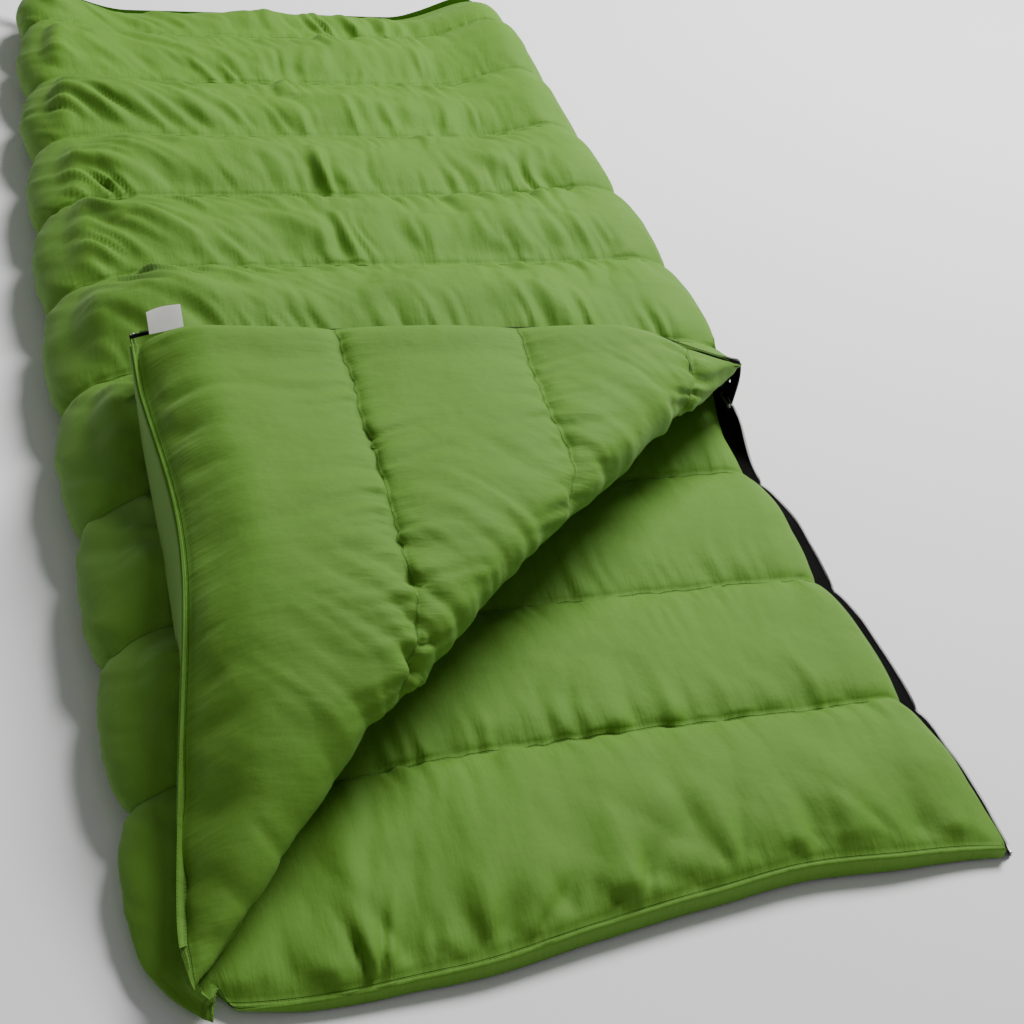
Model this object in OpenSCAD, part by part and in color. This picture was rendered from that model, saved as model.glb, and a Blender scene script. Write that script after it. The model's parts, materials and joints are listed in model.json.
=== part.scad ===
// Rectangular down sleeping bag, lying open with one corner of its top panel folded back.
// Frame: origin on the floor under the crown of the last chamber before the bag's middle, +X across
// the bag towards the zip side, +Y from the head end to the foot end, +Z up. Millimetres.

/* [Bag] */
// Length from the head hem to the foot hem
bag_length = 2130; // [2000:10:2300]
// Width across the closed bag
bag_width = 840; // [760:10:920]
// Number of down chambers along the length
chambers = 10; // [10:1:10]
// Thickness of one quilted panel at the crown of a chamber
crown_t = 58; // [52:1:66]
// Thickness of a panel at a seam, which its baffle wall holds
seam_t = 30; // [26:1:36]
// Clear height between the bottom and the top panel
space_h = 26; // [24:1:34]
// Thickness of a fabric layer
fabric_t = 1; // [0.8:0.1:1.4]

/* [Opening] */
// Number of chambers, from the head end, along which the zip side lies open
open_chambers = 4; // [4:1:4]
// Length of the zip edge of the folded corner
flap_zip_length = 745; // [730:5:760]

/* [Zip] */
// Width of one zip tape where it lies open
tape_w = 30; // [24:1:34]
// Thickness of a zip tape
tape_t = 1; // [0.8:0.1:1.2]
// Width of one half of the coil
coil_w = 2.2; // [2:0.1:2.6]
// Thickness of the coil
coil_t = 2.6; // [2.2:0.1:3]
// Half of the gap between the two halves of the closed coil
coil_gap = 0.5; // [0.5:0.05:0.7]
// Height of the slot that the zip closes on the zip side
slot_h = 16; // [15:1:18]
// Depth of the zip behind the outer face of the side
zip_inset = 6; // [5:0.5:7]
// How far the closed zip runs on into the open chambers, towards the head end
zip_lead = 72; // [60:1:80]

/* [Slider] */
// Length of a slider's body
slider_l = 20; // [18:1:22]
// Width of a slider's body
slider_w = 13; // [12:0.5:13.5]
// Thickness of a slider's plates and flanges
plate_t = 1.4; // [1.2:0.1:1.6]
// Radius of the hole through a slider's bail
bail_hole_r = 1.2; // [1.1:0.05:1.3]
// Length of a flat pull tab from its pin to its tip
tab_l = 32; // [28:1:36]

/* [Hidden] */
$fn = 48;
clear = 0.2;                 // gap between parts that lie against each other
fold_gap = 0.5;              // gap from the hinge line to the parts on each side of it
pitch = bag_length / chambers;
head_y = -(chambers - 1) / 2 * pitch;       // the origin is under the crown of a middle chamber
foot_y = head_y + bag_length;
half_w = bag_width / 2;
bottom_mid = crown_t / 2;                   // middle plane of the bottom panel
top_mid = crown_t * 1.5 + space_h;          // middle plane of the top panel
side_z = crown_t + space_h / 2;             // height of the side fold's centre and of the zip
fold_r = side_z;                            // outer radius of the side fold
mid_r = fold_r - crown_t / 2;               // radius of a panel's middle in the side fold
bend_x = half_w - fold_r;                   // where the flat part of a panel ends
flat_end = half_w - 7;                      // zip edge of a panel that lies flat
open_y = head_y + open_chambers * pitch;    // where the closed part of the zip side begins
zip_start_y = open_y - zip_lead;            // where the zip is closed from
hinge_z = 2 * crown_t + space_h + fold_gap; // height of the flap's fold line
hinge_x = -bend_x;                          // head end of the fold line
fold_angle = atan(flap_zip_length / (flat_end - hinge_x));
zip_x = half_w - zip_inset;                 // plane of the closed zip on the side
zip_y = foot_y - zip_inset;                 // plane of the zip across the foot
zip_corner_r = 12;                          // the zip's bend at the foot corner
zip_tail_x = -half_w - 20;                  // end of the zip at the foot's folded corner
coil_out = coil_gap + coil_w;               // far side of one half of the coil
arc_steps = 10;                             // steps across the crown of one chamber
crown_flat = 1.06;                          // over 1, so the crown is flat along its middle
wall_t = 1;                                 // thickness of a baffle wall
wall_h = seam_t / 2 - fabric_t - 3 * clear; // half height of a baffle wall
hem_t = 2.5;                                // thickness of the facings on the panels' ends
big = 4000;
slider_y = zip_start_y + 25;                // the head slider's place on the zip
slider_x = zip_tail_x + 16;                 // the foot slider's place on the zip
bail_z = 5.4;                               // the pull's pin above the zip's plane
pin_clear = 0.08;
tab_t = 1.6;
plate_z = coil_t / 2 + 0.5;                 // inner face of a slider's plate
stop_l = 4;                  // length of a top stop
pin_l = 12;                  // length of the pins at the foot end of the zip
label_w = 44;
label_h = 44;
label_t = 1.2;
label_lean = 20;             // how far the label leans from upright

green = [0.36, 0.55, 0.2];
lining_green = [0.42, 0.6, 0.24];
down_white = [0.93, 0.92, 0.88];
mesh_white = [0.85, 0.86, 0.84];
zip_black = [0.03, 0.03, 0.03];
metal = [0.55, 0.56, 0.58];
label_white = [0.86, 0.85, 0.82];

function two(i) = i < 10 ? str("0", i) : str(i);
bottom_downs = [for (i = [1:chambers]) str("bottom_down_", two(i))];
top_downs = [for (i = [1:chambers]) str("top_down_", two(i))];
flap_downs = [for (i = [1:open_chambers]) str("flap_down_", two(i))];

// ---- cross-sections ----

// Half of a panel's thickness at share v of the way across a chamber
function half_t(v) = seam_t / 2
    + (crown_t - seam_t) / 2 * min(1, crown_flat * sqrt(max(0, 1 - pow(2 * v - 1, 2))));

// Points [y, distance from the middle plane] across chambers first to last, on side 1 or -1,
// inset from the panel's surface
function crest(first, last, side, inset) = [for (i = [first:last]) for (k = [0:arc_steps])
    if (k < arc_steps || i == last)
        [head_y + (i - 1 + (1 - cos(180 * k / arc_steps)) / 2) * pitch,
            side * (half_t((1 - cos(180 * k / arc_steps)) / 2) - inset)]];

function flipped(points) = [for (k = [len(points) - 1:-1:0]) points[k]];

// The section of one chamber's down between the fabrics and the baffle walls
function down_section(i) = let (
        a = head_y + (i - 1) * pitch + wall_t / 2 + clear,
        b = a + pitch - wall_t - 2 * clear,
        over = crest(i, i, 1, fabric_t + clear),
        under = crest(i, i, -1, fabric_t + clear))
    [for (p = concat(over, flipped(under))) [min(b, max(a, p[0])), p[1]]];

// The section of a fabric layer across chambers first to last: side 1 is the upper layer
function fabric_section(first, last, side) =
    concat(crest(first, last, side, 0), flipped(crest(first, last, side, fabric_t)));

// ---- where a section goes ----

// Runs a section in Y and distance from a middle plane straight across X
module across(x0, x1, mid) {
    translate([x0, 0, mid]) rotate([90, 0, 90]) linear_extrude(x1 - x0) children();
}

// Turns a section round a side fold's axis, from the world angle start, 90 degrees on.
// The section's distance grows inwards for a bottom quarter and outwards for a top one.
module quarter(x, start) {
    translate([x, 0, side_z]) rotate([90, 0, 0]) rotate([0, 0, start])
        rotate_extrude(angle = 90) children();
}

function ring_points(points, out) = [for (p = points) [mid_r + out * p[1], -p[0]]];

module slab(z0, z1, x0 = -big, x1 = big) {
    translate([x0, -big, z0]) cube([x1 - x0, 2 * big, z1 - z0]);
}

// The gap in both sides at the height of the side folds' axes: the zip's slot on the right, the
// side block baffle on the left, and the notch through which the zip reaches the folded corner
module side_gaps() {
    slab(side_z - slot_h / 2, side_z + slot_h / 2, 0, big);
    slab(side_z - wall_t / 2 - clear, side_z + wall_t / 2 + clear, -big, 0);
    foot_notch();
}

module foot_notch() {
    translate([-big, foot_y - 16, side_z - slot_h / 2]) cube([big, big, slot_h]);
}

// Everything on the fixed side (side 1) or the flap's side (side -1) of the fold line
module beside_fold(side) {
    translate([hinge_x, head_y, 0]) rotate(fold_angle)
        translate([-big, side > 0 ? fold_gap : -big - fold_gap, -10]) cube([2 * big, big, 600]);
}

// Turns a part of the closed flap over the fold line to where it lies folded back
module folded_back() {
    translate([hinge_x, head_y, hinge_z]) rotate(fold_angle) rotate([180, 0, 0])
        rotate(-fold_angle) translate([-hinge_x, -head_y, -hinge_z]) children();
}

// A bottom panel part made of a section's points: flat, with its left and perhaps right quarter
module bottom_part(points, right_quarter, inset = 0) {
    difference() {
        union() {
            across(-bend_x, right_quarter ? bend_x : flat_end - inset, bottom_mid)
                polygon(points);
            quarter(-bend_x, 180) polygon(ring_points(points, -1));
            if (right_quarter) quarter(bend_x, 270) polygon(ring_points(points, -1));
        }
        side_gaps();
    }
}

module top_part(points, right_quarter, inset = 0) {
    difference() {
        union() {
            across(-bend_x, right_quarter ? bend_x : flat_end - inset, top_mid)
                polygon(points);
            quarter(-bend_x, 90) polygon(ring_points(points, 1));
            if (right_quarter) quarter(bend_x, 0) polygon(ring_points(points, 1));
        }
        side_gaps();
    }
}

module flap_part(points, inset = 0) {
    folded_back() intersection() {
        across(-bend_x, flat_end - inset, top_mid) polygon(points);
        beside_fold(-1);
    }
}

// ---- down ----

module bottom_down(i) {
    color(down_white) bottom_part(down_section(i), i > open_chambers, fabric_t + clear);
}

module top_down(i) {
    color(down_white) intersection() {
        top_part(down_section(i), i > open_chambers, fabric_t + clear);
        beside_fold(1);
    }
}

module flap_down(i) {
    color(down_white) flap_part(down_section(i), fabric_t + clear);
}

// ---- fabric ----

// The wall of a layer that closes the flat zip edge of chambers 1 to open_chambers
module edge_wall(mid) {
    across(flat_end - fabric_t, flat_end, mid)
        polygon(concat(crest(1, open_chambers, 1, fabric_t),
            flipped(crest(1, open_chambers, -1, fabric_t))));
}

module bottom_shell() {
    color(green) {
        bottom_part(fabric_section(1, open_chambers, -1), false);
        bottom_part(fabric_section(open_chambers + 1, chambers, -1), true);
        edge_wall(bottom_mid);
    }
}

module bottom_lining() {
    color(lining_green) {
        bottom_part(fabric_section(1, open_chambers, 1), false);
        bottom_part(fabric_section(open_chambers + 1, chambers, 1), true);
    }
}

module top_shell() {
    color(green) intersection() {
        union() {
            top_part(fabric_section(1, open_chambers, 1), false);
            top_part(fabric_section(open_chambers + 1, chambers, 1), true);
            edge_wall(top_mid);
        }
        beside_fold(1);
    }
}

module top_lining() {
    color(lining_green) intersection() {
        union() {
            top_part(fabric_section(1, open_chambers, -1), false);
            top_part(fabric_section(open_chambers + 1, chambers, -1), true);
        }
        beside_fold(1);
    }
}

module flap_shell() {
    color(green) {
        flap_part(fabric_section(1, open_chambers, 1));
        folded_back() intersection() {
            edge_wall(top_mid);
            beside_fold(-1);
        }
    }
}

module flap_lining() {
    color(lining_green) flap_part(fabric_section(1, open_chambers, -1));
}

// ---- bands that follow a panel's cross-section at a seam ----

// Quarter of a ring about a side fold's axis, in X and Z
module ring_quarter(x, sx, sz, h) {
    translate([x, side_z]) intersection() {
        difference() {
            circle(mid_r + h);
            circle(mid_r - h);
        }
        translate([sx < 0 ? -2 * mid_r : 0, sz < 0 ? -2 * mid_r : 0]) square(2 * mid_r);
    }
}

// A band of half thickness h that follows the bottom (level -1) or top (level 1) panel
module band(y0, y1, level, h, right_quarter, inset = 0) {
    mid = level < 0 ? bottom_mid : top_mid;
    right = right_quarter ? bend_x : flat_end - inset;
    difference() {
        translate([0, y1, 0]) rotate([90, 0, 0]) linear_extrude(y1 - y0) {
            translate([-bend_x, mid - h]) square([bend_x + right, 2 * h]);
            ring_quarter(-bend_x, -1, level, h);
            if (right_quarter) ring_quarter(bend_x, 1, level, h);
        }
        side_gaps();
    }
}

// The wall between the open and the closed chambers stops where the closed side begins to bend
module baffle_wall(i, level) {
    y = head_y + i * pitch;
    inset = i == open_chambers ? flat_end - bend_x + clear : fabric_t + clear;
    band(y - wall_t / 2, y + wall_t / 2, level, wall_h, i > open_chambers, inset);
}

module bottom_baffle_walls() {
    color(mesh_white) for (i = [1:chambers - 1]) baffle_wall(i, -1);
}

module top_baffle_walls() {
    color(mesh_white) for (i = [1:chambers - 1]) intersection() {
        baffle_wall(i, 1);
        beside_fold(1);
    }
}

module flap_baffle_walls() {
    color(mesh_white) for (i = [1:open_chambers - 1]) folded_back() intersection() {
        y = head_y + i * pitch;
        translate([-bend_x, y - wall_t / 2, top_mid - wall_h])
            cube([bend_x + flat_end - fabric_t - clear, wall_t, 2 * wall_h]);
        beside_fold(-1);
    }
}

// Stops the down at the folded long side, between the bottom's chambers and the top's
module side_block_baffle() {
    color(mesh_white) translate([-bend_x - mid_r, 0, side_z - wall_t / 2])
        linear_extrude(wall_t) intersection() {
            polygon([for (p = concat(crest(1, chambers, 1, fabric_t + clear),
                flipped(crest(1, chambers, -1, fabric_t + clear)))) [p[1], p[0]]]);
            translate([-big / 2, -big + foot_y - 17]) square(big);
        }
}

module head_hem() {
    color(green) {
        band(head_y - hem_t - clear, head_y - clear, -1, seam_t / 2, false);
        translate([0, head_y - clear, 0]) rotate([90, 0, 0]) linear_extrude(hem_t)
            difference() {
                ring_quarter(-bend_x, -1, 1, seam_t / 2);
                translate([-big, side_z - clear]) square([big, 2 * clear]);
            }
    }
}

module flap_head_hem() {
    color(green) folded_back()
        translate([-bend_x + fold_gap * 2 + hem_t, head_y - hem_t - clear, top_mid - seam_t / 2])
            cube([bend_x + flat_end - fold_gap * 2 - hem_t, hem_t, seam_t]);
}

module bottom_foot_hem() {
    color(green) band(foot_y + clear, foot_y + clear + hem_t, -1, seam_t / 2, true);
}

module top_foot_hem() {
    color(green) band(foot_y + clear, foot_y + clear + hem_t, 1, seam_t / 2, true);
}

// ---- zip ----

// Plan of the closed zip, t thick: along the side, round the corner and across the foot
module zip_plan(t, from_y, to_x) {
    r = zip_corner_r;
    translate([zip_x - t / 2, from_y]) square([t, zip_y - r - from_y]);
    translate([to_x, zip_y - t / 2]) square([zip_x - r - to_x, t]);
    translate([zip_x - r, zip_y - r]) intersection() {
        difference() {
            circle(r + t / 2);
            circle(r - t / 2);
        }
        square(2 * r);
    }
}

// One tape of the closed zip: side -1 is the lower tape, 1 the upper one
module closed_tape(side) {
    near = coil_out + clear;
    side_far = slot_h / 2 - clear;
    foot_far = side_z - bottom_mid - half_t(1 - (zip_inset + tape_t) / pitch) - clear;
    lead_far = side_z - bottom_mid;
    translate([0, 0, side_z + (side > 0 ? near : -side_far)]) linear_extrude(side_far - near)
        zip_plan(tape_t, zip_start_y, zip_tail_x + pin_l);
    translate([-bend_x, zip_y - tape_t / 2, side_z + (side > 0 ? side_far : -foot_far)])
        cube([2 * bend_x, tape_t, foot_far - side_far]);
    // beside the open chambers the tape is wider, to reach the panel's flat edge
    translate([zip_x - tape_t / 2, zip_start_y, side_z + (side > 0 ? side_far : -lead_far)])
        cube([tape_t, zip_lead - 2 * clear, lead_far - side_far]);
}

module closed_coil(side) {
    translate([0, 0, side_z + (side > 0 ? coil_gap : -coil_out)]) linear_extrude(coil_w)
        zip_plan(coil_t, zip_start_y, zip_tail_x + pin_l + clear);
}

// Open tape and coil beyond a flat zip edge, at the panel's middle plane
module open_tape(mid, y0, y1) {
    translate([flat_end + clear, y0, mid - tape_t / 2]) cube([tape_w, y1 - y0, tape_t]);
}

module open_coil(mid, y0, y1) {
    translate([flat_end + tape_w + 2 * clear, y0, mid - coil_t / 2])
        cube([coil_w, y1 - y0, coil_t]);
}

module lower_zip_tape() {
    color(zip_black) {
        closed_tape(-1);
        open_tape(bottom_mid, head_y, zip_start_y - clear);
    }
}

module upper_zip_tape() {
    color(zip_black) {
        closed_tape(1);
        intersection() {
            open_tape(top_mid, head_y, zip_start_y - clear);
            beside_fold(1);
        }
    }
}

module flap_zip_tape() {
    color(zip_black) folded_back() intersection() {
        open_tape(top_mid, head_y, zip_start_y);
        beside_fold(-1);
    }
}

module lower_zip_coil() {
    color(zip_black) {
        closed_coil(-1);
        open_coil(bottom_mid, head_y + stop_l + clear, zip_start_y - clear);
    }
}

module upper_zip_coil() {
    color(zip_black) {
        closed_coil(1);
        intersection() {
            open_coil(top_mid, head_y, zip_start_y - clear);
            beside_fold(1);
        }
    }
}

module flap_zip_coil() {
    color(zip_black) folded_back() intersection() {
        open_coil(top_mid, head_y + stop_l + clear, zip_start_y);
        beside_fold(-1);
    }
}

// The metal stop crimped on a coil's head end
module top_stop(mid) {
    translate([flat_end + tape_w + 2 * clear, head_y, mid - coil_t / 2])
        cube([coil_w + 1, stop_l, coil_t]);
}

module lower_top_stop() {
    color(metal) top_stop(bottom_mid);
}

module flap_top_stop() {
    color(metal) folded_back() top_stop(top_mid);
}

// The pins at the foot end of the separating zip, one on each tape
module end_pin(side) {
    color(metal) translate([zip_tail_x, zip_y, side_z + side * (coil_gap + coil_w / 2)])
        rotate([0, 90, 0]) cylinder(h = pin_l, r = coil_w / 2);
}

module box_pin() {
    end_pin(-1);
}

module insertion_pin() {
    end_pin(1);
}

// ---- sliders, drawn with travel along X, width along Y and the outer plate on +Z ----

// The fin on a slider's plate with the hole for the pull's pin
module bail() {
    difference() {
        union() {
            translate([-3.6, -1.1, plate_z + plate_t - 0.1]) cube([7.2, 2.2, 1.6]);
            translate([0, 1.1, bail_z]) rotate([90, 0, 0]) cylinder(h = 2.2, r = 2.4);
        }
        translate([0, 2, bail_z]) rotate([90, 0, 0]) cylinder(h = 4, r = bail_hole_r);
    }
}

module slider_plate() {
    translate([-slider_l / 2, -slider_w / 2 + 1.5, plate_z])
        cube([slider_l, slider_w - 3, plate_t]);
    translate([-slider_l / 2 + 2, -slider_w / 2, plate_z])
        cube([slider_l - 4, slider_w, plate_t]);
    for (side = [-1, 1])
        translate([-slider_l / 2 + 2, side * (slider_w / 2 - plate_t / 2) - plate_t / 2,
            tape_t / 2 + 0.4]) cube([slider_l - 4, plate_t, plate_z - tape_t / 2 - 0.3]);
}

module slider_body(two_bails) {
    wedge_l = 6;
    wedge_w = 0.6;
    slider_plate();
    mirror([0, 0, 1]) slider_plate();
    translate([-slider_l / 2, -wedge_w / 2, -plate_z - 0.1])
        cube([wedge_l, wedge_w, 2 * plate_z + 0.2]);
    bail();
    if (two_bails) mirror([0, 0, 1]) bail();
}

// The fork of a pull: its pin through the bail and two arms along +X
module pull_fork(reach) {
    arm_w = 1.4;
    translate([0, 3, 0]) rotate([90, 0, 0]) cylinder(h = 6, r = bail_hole_r - pin_clear);
    for (side = [-1, 1]) {
        translate([0, side * 2.3 + arm_w / 2, 0]) rotate([90, 0, 0]) cylinder(h = arm_w, r = 1.6);
        translate([0, side * 2.3 - arm_w / 2, -tab_t / 2]) cube([reach, arm_w, tab_t]);
    }
}

// A flat metal pull tab with a rounded grip and an eye at its tip
module pull_tab() {
    pull_fork(7);
    translate([0, 0, -tab_t / 2]) linear_extrude(tab_t) difference() {
        union() {
            translate([4.5, -3]) square([tab_l - 8.5, 6]);
            translate([tab_l - 4, 0]) circle(4);
        }
        translate([tab_l - 4, 0]) circle(1.8);
    }
}

// A short metal pull that ends in a ring
module pull_ring() {
    pull_fork(7);
    translate([0, 0, -tab_t / 2]) linear_extrude(tab_t) difference() {
        union() {
            translate([4.5, -3]) square([3, 6]);
            translate([13, 0]) circle(7);
        }
        translate([13, 0]) circle(5);
    }
}

// The place of the head slider: travel along Y, outer plate facing +X
module on_side(y) {
    translate([zip_x, y, side_z]) rotate([0, 90, 0]) rotate([0, 0, 90]) children();
}

// The place of the foot slider: travel along X, outer plate facing +Y
module on_foot(x) {
    translate([x, zip_y, side_z]) rotate([-90, 0, 0]) children();
}

module head_slider() {
    color(zip_black) on_side(slider_y) slider_body(true);
}

module head_slider_outer_pull() {
    color(zip_black) on_side(slider_y) translate([0, 0, bail_z]) pull_tab();
}

module head_slider_inner_pull() {
    color(metal) on_side(slider_y) mirror([0, 0, 1]) translate([0, 0, bail_z])
        mirror([1, 0, 0]) pull_tab();
}

module foot_slider() {
    color(zip_black) on_foot(slider_x) mirror([1, 0, 0]) slider_body(false);
}

module foot_slider_pull() {
    color(metal) on_foot(slider_x) translate([0, 0, bail_z]) mirror([1, 0, 0]) pull_ring();
}

// ---- label ----

// A folded care label sewn in beside the flap's corner, standing up from its zip edge
module care_label() {
    color(label_white) folded_back()
        translate([flat_end + clear + label_t, head_y + 24, top_mid - tape_t / 2 - 2 * clear])
            rotate([0, 90 - label_lean, 0]) translate([0.5, 0, -label_t / 2])
                cube([label_h, label_w, label_t]);
}

// ---- all nodes ----

for (i = [1:chambers]) {
    bottom_down(i);
    top_down(i);
}
for (i = [1:open_chambers]) flap_down(i);
bottom_shell();
bottom_lining();
top_shell();
top_lining();
flap_shell();
flap_lining();
bottom_baffle_walls();
top_baffle_walls();
flap_baffle_walls();
side_block_baffle();
head_hem();
flap_head_hem();
bottom_foot_hem();
top_foot_hem();
lower_zip_tape();
upper_zip_tape();
flap_zip_tape();
lower_zip_coil();
upper_zip_coil();
flap_zip_coil();
lower_top_stop();
flap_top_stop();
box_pin();
insertion_pin();
head_slider();
head_slider_outer_pull();
head_slider_inner_pull();
foot_slider();
foot_slider_pull();
care_label();
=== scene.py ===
import json
import math

import bmesh
import bpy
import numpy as np
from mathutils import Matrix, Vector


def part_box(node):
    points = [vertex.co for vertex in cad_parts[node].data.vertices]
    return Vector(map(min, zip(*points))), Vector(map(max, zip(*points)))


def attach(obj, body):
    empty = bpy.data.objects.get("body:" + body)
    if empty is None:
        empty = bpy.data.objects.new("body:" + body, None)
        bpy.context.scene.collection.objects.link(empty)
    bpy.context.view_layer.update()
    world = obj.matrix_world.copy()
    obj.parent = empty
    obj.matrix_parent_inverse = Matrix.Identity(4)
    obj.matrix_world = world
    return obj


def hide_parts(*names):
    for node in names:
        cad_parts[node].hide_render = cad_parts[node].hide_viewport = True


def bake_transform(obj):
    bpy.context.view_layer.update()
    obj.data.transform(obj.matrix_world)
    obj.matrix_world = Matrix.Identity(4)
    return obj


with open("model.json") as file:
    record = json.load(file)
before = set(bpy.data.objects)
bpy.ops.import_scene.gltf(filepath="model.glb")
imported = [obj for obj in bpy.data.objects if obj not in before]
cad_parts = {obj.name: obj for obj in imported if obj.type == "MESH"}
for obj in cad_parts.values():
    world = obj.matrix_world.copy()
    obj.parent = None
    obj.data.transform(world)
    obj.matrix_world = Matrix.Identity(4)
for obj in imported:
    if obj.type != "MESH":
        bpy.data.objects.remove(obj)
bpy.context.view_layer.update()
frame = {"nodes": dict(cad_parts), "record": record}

MM = 0.001

# ---- sizes, from the frame

joints = {j["name"]: j for j in frame["record"]["behaviour"]["joints"]}


def low(node):
    return np.array(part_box(node)[0])


def high(node):
    return np.array(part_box(node)[1])


HALF_W = high("bottom_shell")[0]
HEAD_Y = low("bottom_shell")[1]
FOOT_Y = high("bottom_shell")[1]
CHAMBERS = sum(name.startswith("bottom_down_") for name in frame["nodes"])
OPEN = sum(name.startswith("flap_down_") for name in frame["nodes"])
PITCH = (FOOT_Y - HEAD_Y) / CHAMBERS
HINGE = np.array(joints["flap_fold"]["pos_m"])
FOLD_DIR = np.array(joints["flap_fold"]["axis"])
FOLD_OUT = np.array([-FOLD_DIR[1], FOLD_DIR[0], 0.0])  # from the fold towards the fixed side
BEND_X = -HINGE[0]  # where a panel's flat part ends
CROWN = high("flap_lining")[2] - low("flap_shell")[2]  # a panel's thickness
SIDE_Z = (low("head_slider")[2] + high("head_slider")[2]) / 2
SIDE_R = SIDE_Z - CROWN / 2  # radius of a panel's middle in the side fold
MID_LOW = CROWN / 2  # middle height of the bottom panel
MID_TOP = 2 * SIDE_Z - MID_LOW  # middle height of the top panel
STOP_GAP = 30.4 * MM  # from a panel's zip edge to the stop on its coil
EDGE_X = low("lower_top_stop")[0] - STOP_GAP  # zip edge of a panel that lies flat
ZIP_X = (low("head_slider")[0] + high("head_slider")[0]) / 2
ZIP_Y = high("box_pin")[1] - 1.1 * MM
ZIP_START = low("head_slider")[1] - 15 * MM  # where the closed zip begins
TAPE_W = 30 * MM

# ---- numbers of the soft shape

CROWN_H = 0.5 * CROWN  # half thickness at a chamber's crown
SEAM_H = 9.5 * MM  # half thickness at a seam
HEM_W = 4 * MM  # width of the flat hem at the head and foot ends
HEM_H = 2.2 * MM  # its half thickness
HEM_DEPTH = 19 * MM  # how far the facing goes down the shell's end
EDGE_ROUND = 55 * MM  # how far in from the head and foot ends a panel is rounded
ZIP_ROUND = 45 * MM  # how far in from its zip edge
FOOT_LEAN, LEAN_LOW, LEAN_TOP = 110 * MM, 17 * MM, 20 * MM  # how the panels close at the foot
HEAD_DROOP, DROOP = 75 * MM, 5 * MM  # how far in and how much the open hem droops
LINING_LOW = 3 * MM  # the lining's lowest height over the floor
STEPS = 42  # rows of the fine grid across one chamber
COARSE_STEPS = 12
FINE = 4.2 * MM  # column spacing of the fine grid
TUCKS = ((0.14, 6), (0.27, 8), (0.41, 6), (0.54, 9), (0.64, 7), (0.74, 10), (0.82, 12),
         (0.90, 12))  # places across the hem, and depths in millimetres
FLAP_RISE = 42 * MM  # how high the flap's puffed lining stands


def smooth(t):
    t = np.clip(t, 0, 1)
    return t * t * (3 - 2 * t)


def bump(t):
    return np.exp(-t * t)


def rise(value, start, length):
    """0 below the start and 1 beyond the length."""
    return smooth((value - start) / length)


def fall(value, end, length):
    """1 a length below the end and 0 beyond it."""
    return smooth((end - value) / length)


def hump(value, place, width):
    return bump((value - place) / width)


def noise(u, v, seed):
    """Smooth noise between -1 and 1 with one cell per unit of u and v."""
    table = np.random.RandomState(seed).uniform(-1, 1, (128, 128))
    u, v = np.broadcast_arrays(u, v)
    iu, iv = np.floor(u).astype(int), np.floor(v).astype(int)
    fu, fv = smooth(u - iu), smooth(v - iv)

    def row(j):
        a, b = (table[(iu + i) % 128, (iv + j) % 128] for i in (0, 1))
        return a * (1 - fu) + b * fu

    return row(0) * (1 - fv) + row(1) * fv


def creased(u, v, seed):
    """Noise of round ridges between sharp creases, about -1 to 1.5."""
    return np.sqrt(noise(u, v, seed) ** 2 + 0.006) * 3 - 1


def chamber_at(y):
    """How many chambers a row lies from the head end."""
    return (y - HEAD_Y) / PITCH


def bulge(y):
    """0 on a seam and 1 on a chamber's crown."""
    v = chamber_at(y)
    v = v - np.floor(v)
    return (1 - np.abs(2 * v - 1) ** 2.2) ** 0.6


def rounded(distance, width=EDGE_ROUND):
    """0 on an edge and 1 beyond its rounded border."""
    return np.sqrt(1 - (1 - np.clip(distance / width, 0, 1)) ** 2)


def unit(v):
    return v / np.maximum(np.sqrt((v ** 2).sum(-1, keepdims=True)), 1e-12)


def normals(p):
    return unit(np.cross(np.gradient(p, axis=1), np.gradient(p, axis=0)))


# ---- the bag's middle surface


def steps_between(start, end, spacing):
    """Evenly spaced values from start to end, without the end."""
    count = max(2, round(abs(end - start) / spacing))
    return np.linspace(start, end, count, endpoint=False)


def rows_of(fine_chambers):
    """Pattern rows along the bag, fine over the first chambers and coarse over the rest."""
    rows = []
    for k in range(CHAMBERS):
        count = STEPS if k < fine_chambers else COARSE_STEPS
        rows.extend(HEAD_Y + (k + i / count) * PITCH for i in range(count))
    return np.array(rows + [FOOT_Y])


QUARTER = SIDE_R * math.pi / 2
EDGE_RUN = EDGE_X - BEND_X
SLOT = 8 * MM  # half height of the gap that the zip closes


def columns_of(bottom_spacing, top_spacing, side_spacing=5 * MM, first=0.0, last=5.0):
    """Pattern columns from the bottom's zip edge round the folded side to the top's zip edge.
    A column's value runs from 0 to 5: edge, bottom, side fold in two quarters, top, edge."""
    parts = [
        steps_between(0, 1, side_spacing / EDGE_RUN),
        steps_between(1, 2, bottom_spacing / (2 * BEND_X)),
        steps_between(2, 3, side_spacing / (2 * QUARTER)),
        steps_between(3, 4, top_spacing / (2 * BEND_X)),
        steps_between(4, 5, side_spacing / EDGE_RUN),
    ]
    c = np.concatenate(parts)
    return np.concatenate([c[(c >= first) & (c < last)], [last]])


COLUMN_KNOTS = [0, 1, 2, 3, 4, 5]
COLUMN_LENGTHS = np.cumsum([0, EDGE_RUN, 2 * BEND_X, 2 * QUARTER, 2 * BEND_X, EDGE_RUN])


def run_of(c):
    """Length of cloth from the bottom's zip edge to column value c."""
    return np.interp(c, COLUMN_KNOTS, COLUMN_LENGTHS)


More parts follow.
